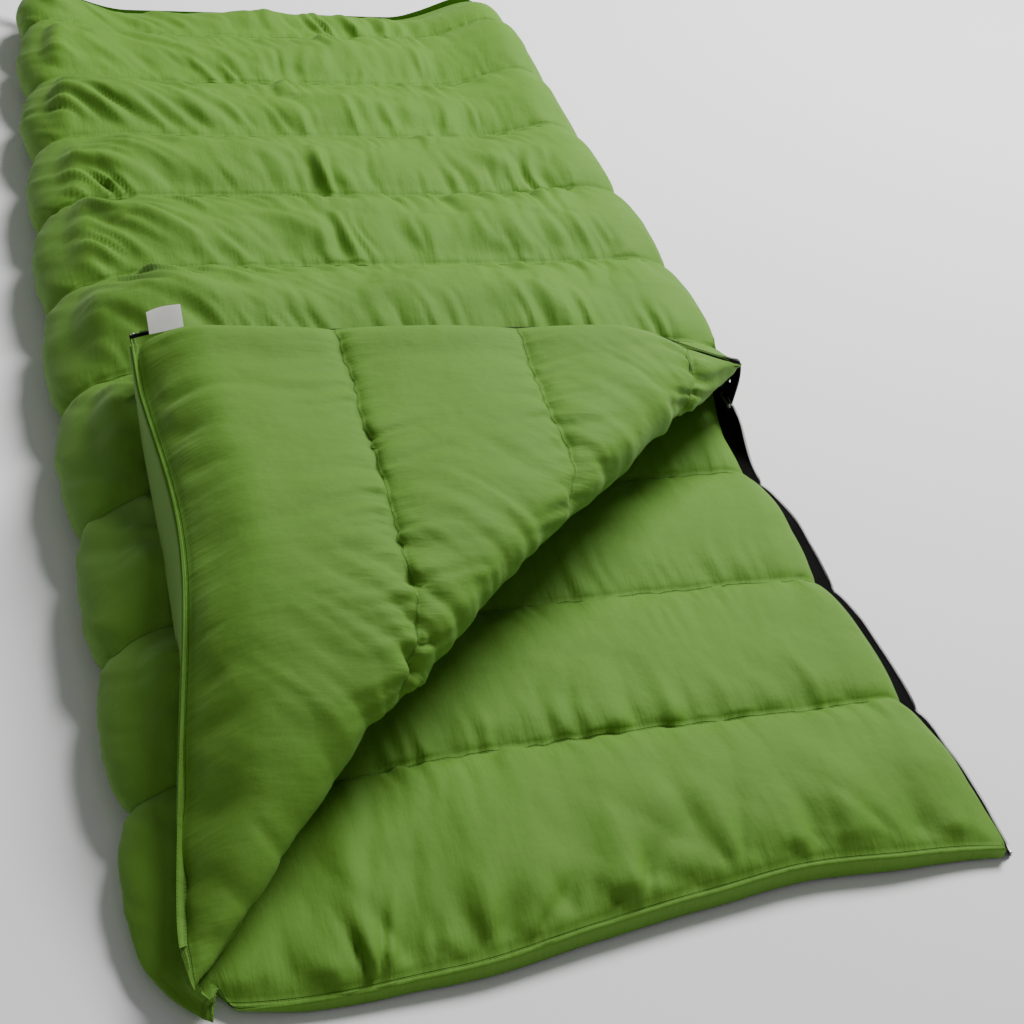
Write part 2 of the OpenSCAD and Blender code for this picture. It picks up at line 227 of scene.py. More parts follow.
def middle(c, y):
    """The middle surface at column value c and row y, and the distances to the zip edges."""
    c, y = np.broadcast_arrays(c, y)
    x, z = np.zeros(c.shape), np.zeros(c.shape)
    shut_low = rise(y, ZIP_START - 110 * MM, 125 * MM)
    shut_top = rise(y, ZIP_START - 25 * MM, 75 * MM)
    # at the foot end each panel leans towards the zip's height
    foot = smooth(1 - (FOOT_Y - y) / FOOT_LEAN)
    z_low = MID_LOW + foot * LEAN_LOW
    z_top = MID_TOP - foot * LEAN_TOP
    side_r = (z_top - z_low) / 2
    side_z = (z_top + z_low) / 2
    for part, sign, z_flat, shut in ((0, -1, z_low, shut_low), (4, 1, z_top, shut_top)):
        f = 1 - c if part == 0 else c - 4
        angle = math.pi / 2 - f * math.acos(SLOT / SIDE_R) * 0.98
        flat = BEND_X + f * EDGE_RUN
        round_x = BEND_X + (EDGE_RUN + 2 * MM) * np.cos(angle)
        round_z = side_z + sign * side_r * np.sin(angle)
        use = (c < 1) if part == 0 else (c > 4)
        x = np.where(use, flat + (round_x - flat) * shut, x)
        z = np.where(use, z_flat + (round_z - z_flat) * shut, z)
    angle = (c - 2) * math.pi
    side_x = -BEND_X - SIDE_R * np.sin(angle)
    for use, part_x, part_z in (
            ((c >= 1) & (c < 2), BEND_X - (c - 1) * 2 * BEND_X, z_low),
            ((c >= 2) & (c < 3), side_x, side_z - side_r * np.cos(angle)),
            ((c >= 3) & (c <= 4), -BEND_X + (c - 3) * 2 * BEND_X, z_top)):
        x, z = np.where(use, part_x, x), np.where(use, part_z, z)
    droop = smooth(1 - (y - HEAD_Y) / HEAD_DROOP) * np.where(c < 2, 1, np.clip(3 - c, 0, 1))
    z = z - DROOP * droop
    edge = np.minimum(np.where(c < 1, c, 1), np.where(c > 4, 5 - c, 1)) * EDGE_RUN
    return np.stack([x, y + 0 * x, z], -1), edge


def half_thickness(s, y, edge, seed, side=-1, c=0.0):
    """Half a panel's thickness, with the down spread a little unevenly. The shell (side 1)
    stands up straight behind the hem at the head end, and the lining rolls over to it."""
    uneven = 1 + 0.13 * noise(s / (170 * MM), y / (130 * MM), seed)
    soft = bulge(y)
    h = SEAM_H + (CROWN_H - SEAM_H) * soft * uneven
    h = h * rounded(y - HEAD_Y - HEM_W, EDGE_ROUND)
    if side > 0:
        upright = (fall(c, 2.1, 0.2) + rise(c, 2.9, 0.2)) * (y < HEAD_Y + PITCH / 2)
        h = h + upright * (CROWN_H * rounded(y - HEAD_Y - HEM_W / 2, 9 * MM) - h)
    h = h * rounded(FOOT_Y - HEM_W - y) * rounded(edge, ZIP_ROUND)
    h = h * (1 - 0.85 * (1 - rounded(edge, 150 * MM)) * hump(y, HEAD_Y, 90 * MM))
    hem = (y < HEAD_Y + HEM_W + 1 * MM) | (y > FOOT_Y - HEM_W - 1 * MM)
    return np.maximum(h, np.where(hem & (edge > 0), HEM_H, 0))


def to_edges(y, edge):
    """Distance to the nearest hem stitch or zip edge."""
    return np.minimum(np.minimum(y - HEAD_Y - HEM_W, FOOT_Y - HEM_W - y), edge)


# Puckers across a seam, in millimetres: height, width, change of place from seam to seam (in
# widths), length, how soon they rise and how soon they fade. Then the ones along the head hem.
PUCKERS = ((2.5, 16, 5.3, 110, 6, 42), (1.9, 27, 2.3, 230, 14, 50), (1.2, 58, 1.9, 330, 34, 75))
HEM_PUCKERS = ((4.6, 56, 0, 200, 26, 60), (2.6, 24, 0, 110, 12, 30))


def puckers(table, across, away, seam, seed):
    """The sum of a table's puckers, at a distance away from a seam."""
    h = 0
    for step, (tall, wide, jump, long, start, fade) in enumerate(table):
        shape = creased(across / (wide * MM), seam * jump + away / (long * MM), seed + step)
        h = h + tall * MM * shape * smooth(away / (start * MM)) * np.exp(-away / (fade * MM))
    return h


def wrinkles(s, y, edge, lean, strength, seed):
    """How far the cloth stands out of its smooth shape: puckers across each seam, broader folds
    that grow out of them, and soft crumples. s is the length of cloth across the bag."""
    v = chamber_at(y)
    seam = np.clip(np.round(v), 1, CHAMBERS - 1)
    off = (v - seam) * PITCH
    d = np.abs(off)
    side = seam * 2 + (off > 0)
    warp = 9 * MM * noise(s / (90 * MM), y / (60 * MM), seed + 1)
    u = s + lean * off + warp
    patch = 0.75 + 0.55 * noise(s / (110 * MM), side * 3.7, seed + 2)
    h = puckers(PUCKERS, u, d, side, seed + 3) * patch
    hem = np.maximum(y - HEAD_Y - HEM_W, 0)
    fan = s + 10 * MM * noise(s / (90 * MM), y / (50 * MM), seed + 30)
    h = h + puckers(HEM_PUCKERS, fan, hem, 0, seed + 31)
    soft = noise(s / (75 * MM) + 3 * noise(s / (200 * MM), v, seed + 6), y / (48 * MM), seed + 7)
    h = h + 0.9 * MM * soft * smooth(d / (30 * MM))
    return h * strength * smooth(to_edges(y, edge) / (26 * MM))


def stitch_dips(y, edge):
    """Shallow grooves along the hem's and the zip facing's stitches."""
    near = np.minimum(y - HEAD_Y, FOOT_Y - y)
    return 1.3 * MM * hump(near, HEM_W, 2.5 * MM) + 1.2 * MM * bump(
        (edge - 9 * MM) / (3 * MM))


def seam_shift(s, y, seed):
    """How far a seam wanders along the bag, drawn by its puckers."""
    v = chamber_at(y)
    d = np.abs(v - np.round(v)) * PITCH
    inner = (v > 0.5) & (v < CHAMBERS - 0.5)
    wave = noise(s / (11 * MM), np.round(v) * 7.1, seed) * 2.2 + noise(
        s / (60 * MM), np.round(v) * 3.1, seed + 1) * 2.4
    return np.where(inner, wave * MM * np.exp(-d / (14 * MM)), 0)


def bag_sheet(c, rows, side, seed):
    """The shell (side 1) or the lining (side -1) of the whole bag on a grid, with its cloth
    coordinates."""
    cc, yy = np.meshgrid(c, rows)
    mid, edge = middle(cc, yy)
    s = run_of(cc)
    p = mid + normals(mid) * (side * half_thickness(s, yy, edge, seed, side, cc))[..., None]
    left = hump(cc, 2.8, 0.45)
    if side > 0:
        lean = 0.12 + 0.55 * fall(cc, 3.55, 0.5)
    else:
        lean = 0.15 * noise(s / (300 * MM), yy / (300 * MM), seed + 20)
    h = wrinkles(s, yy, edge, lean, 1.35 if side > 0 else 1.6, seed)
    # long slanting folds where the shell goes round the folded side
    v = bulge(yy)
    slant = s + 0.95 * (yy - HEAD_Y)
    long_fold = creased(slant / (44 * MM) + 0.5 * noise(s / (120 * MM), yy / (120 * MM), seed + 9),
                        (yy - 0.6 * s) / (330 * MM), seed + 10)
    if side > 0:
        h = h + left * (1.7 * MM * long_fold * v + 0.9 * MM * creased(
            slant / (24 * MM), (yy - s) / (190 * MM), seed + 11) * v)
    else:
        # the first chamber buckles beside the tight folded corner
        # and tucks fan out of the hem
        beside = hump(cc, 1.84, 0.13) * hump(chamber_at(yy), 0.42, 0.34)
        fan = (s + 0.25 * (yy - HEAD_Y)) / (44 * MM)
        h = h + beside * 5 * MM * (creased(fan, yy / (260 * MM), seed + 12) - 0.3)
        for tuck, (place, deep) in enumerate(TUCKS):
            away = yy - HEAD_Y + 18 * MM
            turn = np.arctan2(s - place * 2 * BEND_X, away)
            far = np.hypot(s - place * 2 * BEND_X, away)
            h = h + deep * MM * (creased(turn * 2.6, far / (160 * MM), seed + 40 + tuck) - 0.2) * (
                smooth((far - 20 * MM) / (40 * MM)) * np.exp(-(far / (115 * MM)) ** 2)
                * bump(turn / 0.9))
    h = np.maximum(h, -8 * MM) - stitch_dips(yy, edge)
    p = p + normals(p) * (side * h)[..., None]
    p[..., 1] += seam_shift(s, yy, seed + 13)
    p[..., 2] = np.maximum(p[..., 2], 0 if side > 0 else LINING_LOW)
    return p, s, yy


# ---- the folded corner

NOSE = 105 * MM  # how far the fold's rounding reaches into the flap
TIGHT_NOSE = 25 * MM  # the same at the bag's corner, where the fold is tight
TIGHT_RUN = 300 * MM  # how far along the fold it loosens
NOSE_OUT = -16 * MM  # how far the fold stands out from its line; it stays behind it
UNDER_BACK = 26 * MM  # how far the layer under the fold is tucked back
UNDER = 120 * MM  # how far the lining goes on under the fold
FLAP_SEED = 37


def fold_place(x, y):
    """Distance along the fold line and distance from it, positive on the flap's side."""
    dx, dy = x - HINGE[0], y - HINGE[1]
    along = dx * FOLD_DIR[0] + dy * FOLD_DIR[1]
    away = -(dx * FOLD_OUT[0] + dy * FOLD_OUT[1])
    return along, away


def folded_lining(x, y, seed, thick=1.0):
    """The lining of the flap and of the fold, from its place in the closed top panel.
    thick 0 gives the panel's middle, and -1 its shell."""
    along, away = fold_place(x, y)
    loose = smooth(along / TIGHT_RUN)
    nose = TIGHT_NOSE + (NOSE - TIGHT_NOSE) * loose
    edge = np.minimum(EDGE_X - x, 1.0)
    s = x - HINGE[0]
    uneven = 1 + 0.12 * noise(s / (190 * MM), y / (130 * MM), seed)
    soft = bulge(y) * uneven
    h = (SEAM_H + (CROWN_H - SEAM_H) * soft) * rounded(edge, ZIP_ROUND)
    h = np.maximum(h * rounded(y - HEAD_Y - HEM_W), np.where(y < HEAD_Y + HEM_W, HEM_H, 0))
    pinch = 0.5 + 0.5 * smooth((along + 40 * MM) / (200 * MM))
    height = (MID_LOW + h * thick) * pinch
    angle = np.minimum(np.abs(away) / nose, 1) * math.pi / 2
    dent = 7 * MM * (1 - np.clip(soft, 0, 1)) * np.cos(angle)
    reach = NOSE_OUT * loose - dent
    n = np.where(np.abs(away) < nose, -reach + (nose + reach) * (1 - np.cos(angle)),
                 np.abs(away))
    n = n + np.where(away < 0, 1, 0) * UNDER_BACK * (0.3 + 0.7 * loose) * np.sin(2 * angle) ** 2
    z = HINGE[2] + np.sign(away) * height * np.sin(angle)
    droop = smooth(1 - (y - HEAD_Y) / (70 * MM)) * smooth(away / (60 * MM))
    z = z - 12 * MM * droop
    p = HINGE + along[..., None] * FOLD_DIR + n[..., None] * FOLD_OUT
    p[..., 2] = z
    return p


def fold_height(along, n):
    """Share of its height that a layer keeps at distance n from the fold line."""
    loose = smooth(along / TIGHT_RUN)
    nose = TIGHT_NOSE + (NOSE - TIGHT_NOSE) * loose
    reach = NOSE_OUT * loose
    return np.sin(np.arccos(1 - np.clip((n + reach) / (nose + reach), 0, 1)))


def points_of(piece):
    co = np.empty(len(piece.data.vertices) * 3)
    piece.data.vertices.foreach_get("co", co)
    return co.reshape(-1, 3)


def move_points(piece, co):
    piece.data.vertices.foreach_set("co", co.ravel())
    piece.data.update()


def tuck_in(piece):
    """Bring a shell's part beside the fold into the fold's rounding."""
    co = points_of(piece)
    along, away = fold_place(co[:, 0], co[:, 1])
    top = (co[:, 2] > TOP_ONLY) & (co[:, 0] > HINGE[0] - 1 * MM) & (away < 0)
    keep = fold_height(along, -away)
    co[:, 2] = np.where(top, HINGE[2] + (co[:, 2] - HINGE[2]) * keep, co[:, 2])
    move_points(piece, co)


def flap_lining_sheet(seed):
    x = np.concatenate([steps_between(HINGE[0] - 4 * MM, EDGE_X, FINE), [EDGE_X]])
    rows = HEAD_Y + np.arange(int(STEPS * (OPEN + 0.5)) + 1) * PITCH / STEPS
    gx, gy = np.meshgrid(x, rows)
    p = folded_lining(gx, gy, seed)
    along, away = fold_place(gx, gy)
    edge = EDGE_X - gx
    s = gx - HINGE[0]
    h = wrinkles(s, gy, edge, -0.35, 1.4 + 0.4 * hump(away, 60 * MM, 90 * MM), seed)
    # wrinkles across the fold
    at_fold = hump(away, 55 * MM, 75 * MM) * smooth(along / (120 * MM))
    h = h + at_fold * smooth(edge / (30 * MM)) * (
        2.6 * MM * creased(along / (34 * MM) + away / (300 * MM), away / (190 * MM), seed + 14)
        + 1.2 * MM * creased(along / (15 * MM), away / (90 * MM), seed + 15))
    h = h - stitch_dips(gy, edge)
    p = p - normals(p) * h[..., None]
    along_shift = seam_shift(s, gy, seed + 13)
    turn = 2 * math.atan2(FOLD_DIR[1], FOLD_DIR[0])
    flip = np.where(away > 0, 1, 0)
    p[..., 0] += along_shift * math.sin(turn) * flip
    p[..., 1] += -along_shift * math.cos(turn) * flip
    return p, away > -UNDER, s, gy


# ---- the whole soft shape's set


# shares of its height that a place loses
SINK_PER_CHAMBER, SINK_FROM = 0.092, 4.4  # of the middle, past a number of chambers
SINK_LAST = 0.17  # of the last chamber's middle
SINK_FOOT_CORNER = 0.30
SINK_FOLDED_SIDE = 0.30
SINK_FOLD_CORNER = 0.42  # of the tight folded corner
SINK_ZIP_CORNER = 0.45  # of the open corner beside the zip
PRESS, PRESS_FROM = 0.29, 165 * MM  # of what stands above a height
# lengths that a place moves
TIP_MOVE = (12 * MM, 30 * MM, 22 * MM)  # out, ahead and down, at the folded corner's tip
FOOT_BACK = 26 * MM  # the last chamber, towards the head
FOOT_CREEP = 6 * MM  # and more with each of the last four
EDGE_RISE, LABEL_RISE = 21 * MM, 11 * MM  # the flap's zip edge, and more by the label
SPLAY = 58 * MM  # the open corner, sideways
SKEW = 38 * MM  # its zip edge, towards the foot
HEM_BACK = 17 * MM  # the whole open hem, towards the foot
HEM_OUT = 58 * MM  # the open hem's left part, towards the head
SIDE_SKEW, SIDE_BOW = 45 * MM, 23 * MM  # the folded side, towards the head and outwards
FLAP_BOW = 30 * MM  # the flap's head hem, sideways
SHOULDER_IN = 24 * MM  # the top panel's zip side, inwards
SLIDER_IN = 18 * MM  # the bottom panel beside the head slider, inwards
ZIP_CORNER_OUT = 12 * MM  # the open corner, towards the head
END_R, FOOT_R = 70 * MM, 55 * MM  # roundings of the folded side's end and the foot


def settle(p):
    """How the soft bag settles: low at the foot, on the folded side and at the folded corner,
    splayed at the open corner, bowed along the folded side, and puffed up in the flap."""
    p = np.array(p, float)
    shape = p.shape
    p = p.reshape(-1, 3)
    x, y, z = p[:, 0].copy(), p[:, 1].copy(), p[:, 2].copy()
    chamber = chamber_at(y)
    across = (x + HALF_W) / (2 * HALF_W)
    at_fold = 1 - rise(-fold_place(x, y)[1], 15 * MM, 55 * MM)
    flap = smooth((z - HINGE[2] + (10 + 48 * at_fold) * MM) / ((30 + 62 * at_fold) * MM))
    left = smooth(1 - across / 0.45)
    settle_heights(p, x, y, z, chamber, across, flap)
    settle_places(p, x, y, z, chamber, across, flap, left)
    round_ends(p, x, y)
    return p.reshape(shape)


def settle_heights(p, x, y, z, chamber, across, flap):
    inner = rise(across, 0, 0.22) * fall(across, 1, 0.22)
    z_scale = 1 - SINK_PER_CHAMBER * np.clip(chamber - SINK_FROM, 0, 6) * inner
    z_scale -= SINK_LAST * rise(chamber, 9, 0.8) * inner
    z_scale -= (SINK_FOOT_CORNER - 0.06 * across) * rise(chamber, 8.7, 1.2) * (1 - inner)
    z_scale -= SINK_FOLDED_SIDE * fall(across, 0.2, 0.2) * fall(chamber, 9.6, 1.2)
    corner = hump(x, HINGE[0], 0.24) * hump(y, HEAD_Y, 0.30)
    p[:, 2] = z * z_scale * (1 - SINK_FOLD_CORNER * corner)
    p[:, 1] -= FOOT_BACK * rise(chamber, 8.9, 1.0)
    tip = hump(x, HINGE[0], 0.13) * hump(y, HEAD_Y, 0.16) * rise(z, 45 * MM, 50 * MM)
    p -= tip[:, None] * TIP_MOVE
    end_drop = 1 - 0.85 * rise(x, 0.20, 0.18)
    p[:, 2] += flap * FLAP_RISE * rise(chamber, 0.2, 1.6) * end_drop
    by_label = LABEL_RISE * hump(x, HINGE[0], 0.12)
    p[:, 2] += flap * rise(chamber, 3.2, 0.4) * (EDGE_RISE * end_drop + by_label)
    p[:, 2] -= PRESS * np.maximum(p[:, 2] - PRESS_FROM, 0)


def settle_places(p, x, y, z, chamber, across, flap, left):
    low_part = fall(z, 90 * MM, 30 * MM)
    low_open = low_part * (1 - rise(chamber, 3.8, 2))
    # the open hem and its corner
    hem_wave = hump(y, HEAD_Y, 0.06) * fall(z, 100 * MM, 30 * MM)
    p[:, 1] += hem_wave * 8 * MM * noise(x / (95 * MM), 0 * x + 4.4, 91)
    p[:, 1] += (SKEW * across + HEM_BACK * hump(y, HEAD_Y, 0.12)) * low_open
    splay = rise(across, 0.3, 0.6) * np.clip(1 - chamber / 4, 0, 1) ** 3
    p[:, 0] += SPLAY * splay * low_open
    hem_out = hump(x, -0.22, 0.28) * bump(chamber / 0.5) * rise(x, -0.45, 0.10)
    p[:, 1] -= HEM_OUT * hem_out * fall(z, 110 * MM, 40 * MM)
    # the foot and the folded side
    p[:, 1] -= FOOT_CREEP * np.clip(chamber - 6, 0, 4) ** 1.1
    p[:, 1] -= SIDE_SKEW * left * hump(chamber, 2.5, 1.5) * (1 - flap)
    bow = np.sin(np.pi * np.clip(chamber / CHAMBERS, 0, 1))
    p[:, 0] -= SIDE_BOW * bow * left * (1 - flap)
    # the flap's head hem
    p[:, 0] -= FLAP_BOW * flap * fall(x, -0.05, 0.25) * (1 - hump(y, HEAD_Y + 0.44, 0.24))
    # the open zip edge and the zip side
    open_side = rise(across, 0.86, 0.14) * (1 - rise(chamber, 3.2, 0.5))
    p[:, 0] += open_side * low_part * 7 * MM * (2 * bulge(y) - 1)
    p[:, 2] += open_side * low_part * 4 * MM * noise(y / 0.05, 0 * y + 1.7, 92) * smooth(z / 0.02)
    shoulder = rise(z, 75 * MM, 30 * MM) * rise(across, 0.55, 0.4)
    p[:, 0] -= SHOULDER_IN * shoulder * rise(chamber, 4.6, 3) * (1 - flap)
    beside_slider = hump(y, ZIP_START - 60 * MM, 0.08) * rise(across, 0.8, 0.2)
    p[:, 0] -= SLIDER_IN * beside_slider * low_part
    near_zip = hump(x, HALF_W, 0.10) * hump(y, HEAD_Y, 0.09) * low_part
    p[:, 2] *= 1 - SINK_ZIP_CORNER * near_zip
    p[:, 1] -= ZIP_CORNER_OUT * near_zip


def round_ends(p, x, y):
    """Round the head end of the folded side, and both foot corners."""
    u = np.clip((HEAD_Y + END_R - y) / END_R, 0, 1) * 0.95
    out = np.maximum(12 * MM - BEND_X - x, 0)
    p[:, 0] += (1 - np.sqrt(1 - u ** 2)) * out
    u = np.clip((y - (FOOT_Y - FOOT_R)) / FOOT_R, 0, 1) * 0.88
    out = np.maximum(np.abs(x) - (HALF_W - FOOT_R), 0)
    p[:, 0] -= np.sign(x) * (1 - np.sqrt(1 - u ** 2)) * out


# ---- meshes


def new_object(name, data):
    obj = bpy.data.objects.new(name, data)
    bpy.context.collection.objects.link(obj)
    return obj


def mesh_piece(name, points, quads, pattern=None):
    """An object from points and quads. pattern is where each point lies in the flat cloth."""
    mesh = bpy.data.meshes.new(name)
    mesh.vertices.add(len(points))
    mesh.vertices.foreach_set("co", points.astype(np.float32).ravel())
    mesh.loops.add(quads.size)
    mesh.loops.foreach_set("vertex_index", quads.astype(np.int32).ravel())
    mesh.polygons.add(len(quads))
    mesh.polygons.foreach_set("loop_start", np.arange(0, quads.size, 4, dtype=np.int32))
    mesh.polygons.foreach_set("loop_total", np.full(len(quads), 4, np.int32))
    mesh.update(calc_edges=True)
    mesh.validate()
    if pattern is not None:
        layer = mesh.attributes.new("pattern", "FLOAT_VECTOR", "POINT")
        layer.data.foreach_set("vector", pattern.astype(np.float32).ravel())
    mesh.shade_smooth()
    return new_object(name, mesh)


def grid_quads(rows, cols, wrap=False):
    index = np.arange(rows * cols).reshape(rows, cols)
    if wrap:
        index = np.concatenate([index, index[:, :1]], 1)
    quads = np.stack([index[:-1, :-1], index[:-1, 1:], index[1:, 1:], index[1:, :-1]], -1)
    return quads


def pattern_of(s, y):
    """Cloth coordinates as points: s across the bag and y along it."""
    s, y = np.broadcast_arrays(s, y)
    return np.stack([s, y, 0 * s], -1).reshape(-1, 3)


def grid_mesh(name, p, s, y, keep=None, flip=False):
    rows, cols = p.shape[:2]
    quads = grid_quads(rows, cols)
    if keep is not None:
        ok = keep[:-1, :-1] | keep[:-1, 1:] | keep[1:, 1:] | keep[1:, :-1]
        quads = quads[ok]
    quads = quads.reshape(-1, 4)
    if flip:
        quads = quads[:, ::-1]
    used = np.zeros(rows * cols, bool)
    used[quads] = True
    new = np.cumsum(used) - 1
    pattern = pattern_of(s, y - HEAD_Y)[used]
    return mesh_piece(name, p.reshape(-1, 3)[used], new[quads], pattern)


def loft(name, rings, s=None, y=None):
    """A closed piece through rings of points, with its ends filled."""
    rings = np.asarray(rings)
    n, m = rings.shape[:2]
    quads = grid_quads(n, m, wrap=True).reshape(-1, 4)
    middles = np.stack([rings[0].mean(0), rings[-1].mean(0)])
    points = np.concatenate([rings.reshape(-1, 3), middles])
    pattern = None
    if s is not None:
        flat = pattern_of(s, y)
        pattern = np.concatenate([flat, flat[:1], flat[-1:]])
    caps = []
    for k in range(0, m - 1, 2):
        a, b, c = k, k + 1, (k + 2) % m
        caps.append([n * m, a, b, c][::-1])
        last = (n - 1) * m
        caps.append([n * m + 1, last + a, last + b, last + c])
    return mesh_piece(name, points, np.concatenate([quads, np.array(caps)]), pattern)


def may_cut(face, above):
    """Whether a face belongs to the top panel, beside the side fold."""
    centre = face.calc_center_median()
    return centre.z > above and centre.x > HINGE[0] - 1 * MM


def cut(piece, keep_flap, above, offset=0.0, fill=False):
    """Cut a piece with the vertical plane beside the fold and keep one side of it.
    Faces below the height above stay as they are."""
    bm = bmesh.new()
    bm.from_mesh(piece.data)
    place = Vector(HINGE + FOLD_OUT * offset)
    plane = Vector(FOLD_OUT)
    chosen = {f for f in bm.faces if may_cut(f, above)}
    faces = list(chosen)
    geom = faces + list({e for f in faces for e in f.edges} | {v for f in faces for v in f.verts})
    bmesh.ops.bisect_plane(bm, geom=geom, dist=1e-6, plane_co=place, plane_no=plane)
    side = -1 if keep_flap else 1
    gone = [f for f in bm.faces if may_cut(f, above)
            and (f.calc_center_median() - place).dot(plane) * side < 0]
    if keep_flap:
        gone += [f for f in bm.faces if not may_cut(f, above)]
    bmesh.ops.delete(bm, geom=gone, context="FACES")
    if fill:
        bmesh.ops.holes_fill(bm, edges=[e for e in bm.edges if e.is_boundary])
    bm.to_mesh(piece.data)
    bm.free()
    piece.data.shade_smooth()
    return piece


HALF_TURN = (Matrix.Translation(HINGE) @ Matrix.Rotation(math.pi, 4, Vector(FOLD_DIR))
             @ Matrix.Translation(-HINGE))


def warp(piece):
    """Settle a finished piece's mesh."""
    move_points(piece, settle(points_of(piece)))
    return piece


def twin(piece, name):
    mesh = piece.data.copy()
    mesh.name = name
    return new_object(name, mesh)


# ---- zip, hems, filling


def ribbon(name, inner, outer, across, pattern_y):
    """A band between two lines of points, with its cloth coordinates."""
    t = np.linspace(0, 1, across)[None, :, None]
    p = inner[:, None, :] * (1 - t) + outer[:, None, :] * t
    s = np.broadcast_to(np.linspace(0, TAPE_W, across), p.shape[:2])
    return grid_mesh(name, p, s, np.broadcast_to(pattern_y[:, None], p.shape[:2]))


def path_length(p):
    return np.concatenate([[0], np.cumsum(np.sqrt((np.diff(p, axis=0) ** 2).sum(1)))])


def resampled(p, spacing):
    run = path_length(p)
    at = np.linspace(0, run[-1], max(3, round(run[-1] / spacing) + 1))
    return np.stack([np.interp(at, run, p[:, k]) for k in range(3)], 1)


def coil(name, path, side, pitch=2.4 * MM, wide=1.15 * MM, thick=1.3 * MM, wire=0.45 * MM):
    """A zip coil wound along a path. side points from the path to the coil's middle."""
    turns = 6
    p = resampled(path, pitch / turns)
    ahead = unit(np.gradient(p, axis=0))
    over = unit(np.cross(ahead, side))
    out = np.cross(over, ahead)
    angle = np.arange(len(p)) * 2 * math.pi / turns
    centre = p + out * (wide * (1 + np.cos(angle)))[:, None]
    centre += over * (thick * np.sin(angle))[:, None]
    way = unit(np.gradient(centre, axis=0))
    a = unit(np.cross(way, ahead + 0.3 * over))
    b = np.cross(way, a)
    ring = np.arange(5) * 2 * math.pi / 5
    rings = centre[:, None] + wire * (a[:, None] * np.cos(ring)[None, :, None]
                                      + b[:, None] * np.sin(ring)[None, :, None])
    return loft(name, rings)


def zip_place(q):
    """Where a point of the straight zip comes to lie: it stays in line along the side and at
    the far corner, and sinks with the panels across the foot."""
    beside = rise(q[:, 0], 0.26, 0.13)
    beside *= 1 - smooth((FOOT_Y - 20 * MM - q[:, 1]) / -0.17 + 1)
    stay = np.maximum(beside, fall(q[:, 0], -0.33, 0.09))
    sunk = settle(q)
    sunk[:, 2] -= 9 * MM
    return sunk * (1 - stay[:, None]) + q * stay[:, None]


def zip_path(gap):
    """The closed zip's path at a height above or below the zip's middle."""
    r = 12 * MM
    side_y = np.linspace(ZIP_START, ZIP_Y - r, 180)
    turn = np.linspace(0, math.pi / 2, 7)[1:-1]
    foot_x = np.linspace(ZIP_X - r, low("box_pin")[0] + 12 * MM, 120)
    x = np.concatenate([0 * side_y + ZIP_X, ZIP_X - r + r * np.cos(turn), foot_x])
    y = np.concatenate([side_y, ZIP_Y - r + r * np.sin(turn), 0 * foot_x + ZIP_Y])
    return np.stack([x, y, 0 * x + SIDE_Z + gap], 1)


def closed_tape(name, side):
    """One tape of the closed zip, from the panel's edge to the coil."""
    q = zip_path(side * 1.6 * MM)
    outer = zip_place(q)
    c = 0.0 if side < 0 else 5.0
    along = np.minimum(q[:, 1], FOOT_Y - 1 * MM)
    inner = middle(c - 0.04 * side, along)[0]
    at_foot = fall(q[:, 0], ZIP_X, 12 * MM)[:, None]
    panel = middle(1.5 if side < 0 else 3.5, 0 * along + FOOT_Y)[0]
    panel[:, 0] = np.clip(q[:, 0], -HALF_W + 12 * MM, EDGE_X - 4 * MM)
    panel[:, 1] -= 2.5 * MM
    inner = settle(inner * (1 - at_foot) + panel * at_foot)
    tape = ribbon(name, inner, outer, 6, path_length(q))
    return tape, outer


def open_edge(rows, c, reach):
    """A line beside a panel's open zip edge, reach beyond it."""
    mid = middle(c, rows)[0]
    mid[:, 0] += reach
    return settle(mid)


def nub(name, place, half, ahead):
    """A small rounded metal block."""
    ahead = np.array(ahead) / np.linalg.norm(ahead)
    over = np.array([0, 0, 1.0])
    across = np.cross(ahead, over)
    angle = np.arange(12) * math.pi / 6
    rings = []
    for t in np.linspace(-1, 1, 7):
        size = (1 - abs(t) ** 4) ** 0.5 * 0.75 + 0.25
        square = np.stack([np.sign(np.cos(angle)) * np.abs(np.cos(angle)) ** 0.6,
                           np.sign(np.sin(angle)) * np.abs(np.sin(angle)) ** 0.6], 1)
        rings.append(place + ahead * (t * half[1]) + size * (
            square[:, :1] * across * half[0] + square[:, 1:] * over * half[2]))
    return loft(name, rings)


def hem_band(name, c, end_y, way, sheet_of, taper):
    """The facing folded round a panel's end. sheet_of(c, y) is the panel's middle surface."""
    h = HEM_H + 0.7 * MM
    runs, outs = [], []
    for angle in np.linspace(0, math.pi / 2, 4):
        runs.append(1.0 * MM - h * math.sin(angle))
        outs.append(-h * math.cos(angle))
    for depth in np.linspace(3 * MM, HEM_DEPTH, 5):
        runs.append(-h * 0.7)
        outs.append(depth)
    rows = end_y + way * np.array(runs)
    cc, yy = np.meshgrid(c, rows)
    mid = sheet_of(cc, yy)
    n = normals_along(rows, c, sheet_of)
    p = mid + n * (np.array(outs)[:, None] * taper)[..., None]
    ripple = 0.7 * MM * noise(run_of(cc) / (17 * MM), yy * 0 + 3.3 * way, 71)
    p = p + n * ripple[..., None]
    s = run_of(cc)
    hem_y = HEAD_Y + HEM_W * 2 + np.array(runs)[:, None] + 0 * s
    return grid_mesh(name, p, s, hem_y, flip=way < 0)


def normals_along(rows, c, sheet_of):
    """The panel's upward normal at the points of a hem band."""
    cc, yy = np.meshgrid(c, rows)
    step = 1 * MM
    y0 = np.clip(yy, HEAD_Y + step, FOOT_Y - step)
    dy = sheet_of(cc, y0 + step) - sheet_of(cc, y0 - step)
    dc = sheet_of(cc + 0.002, y0) - sheet_of(cc - 0.002, y0)
    return unit(np.cross(dc, dy))


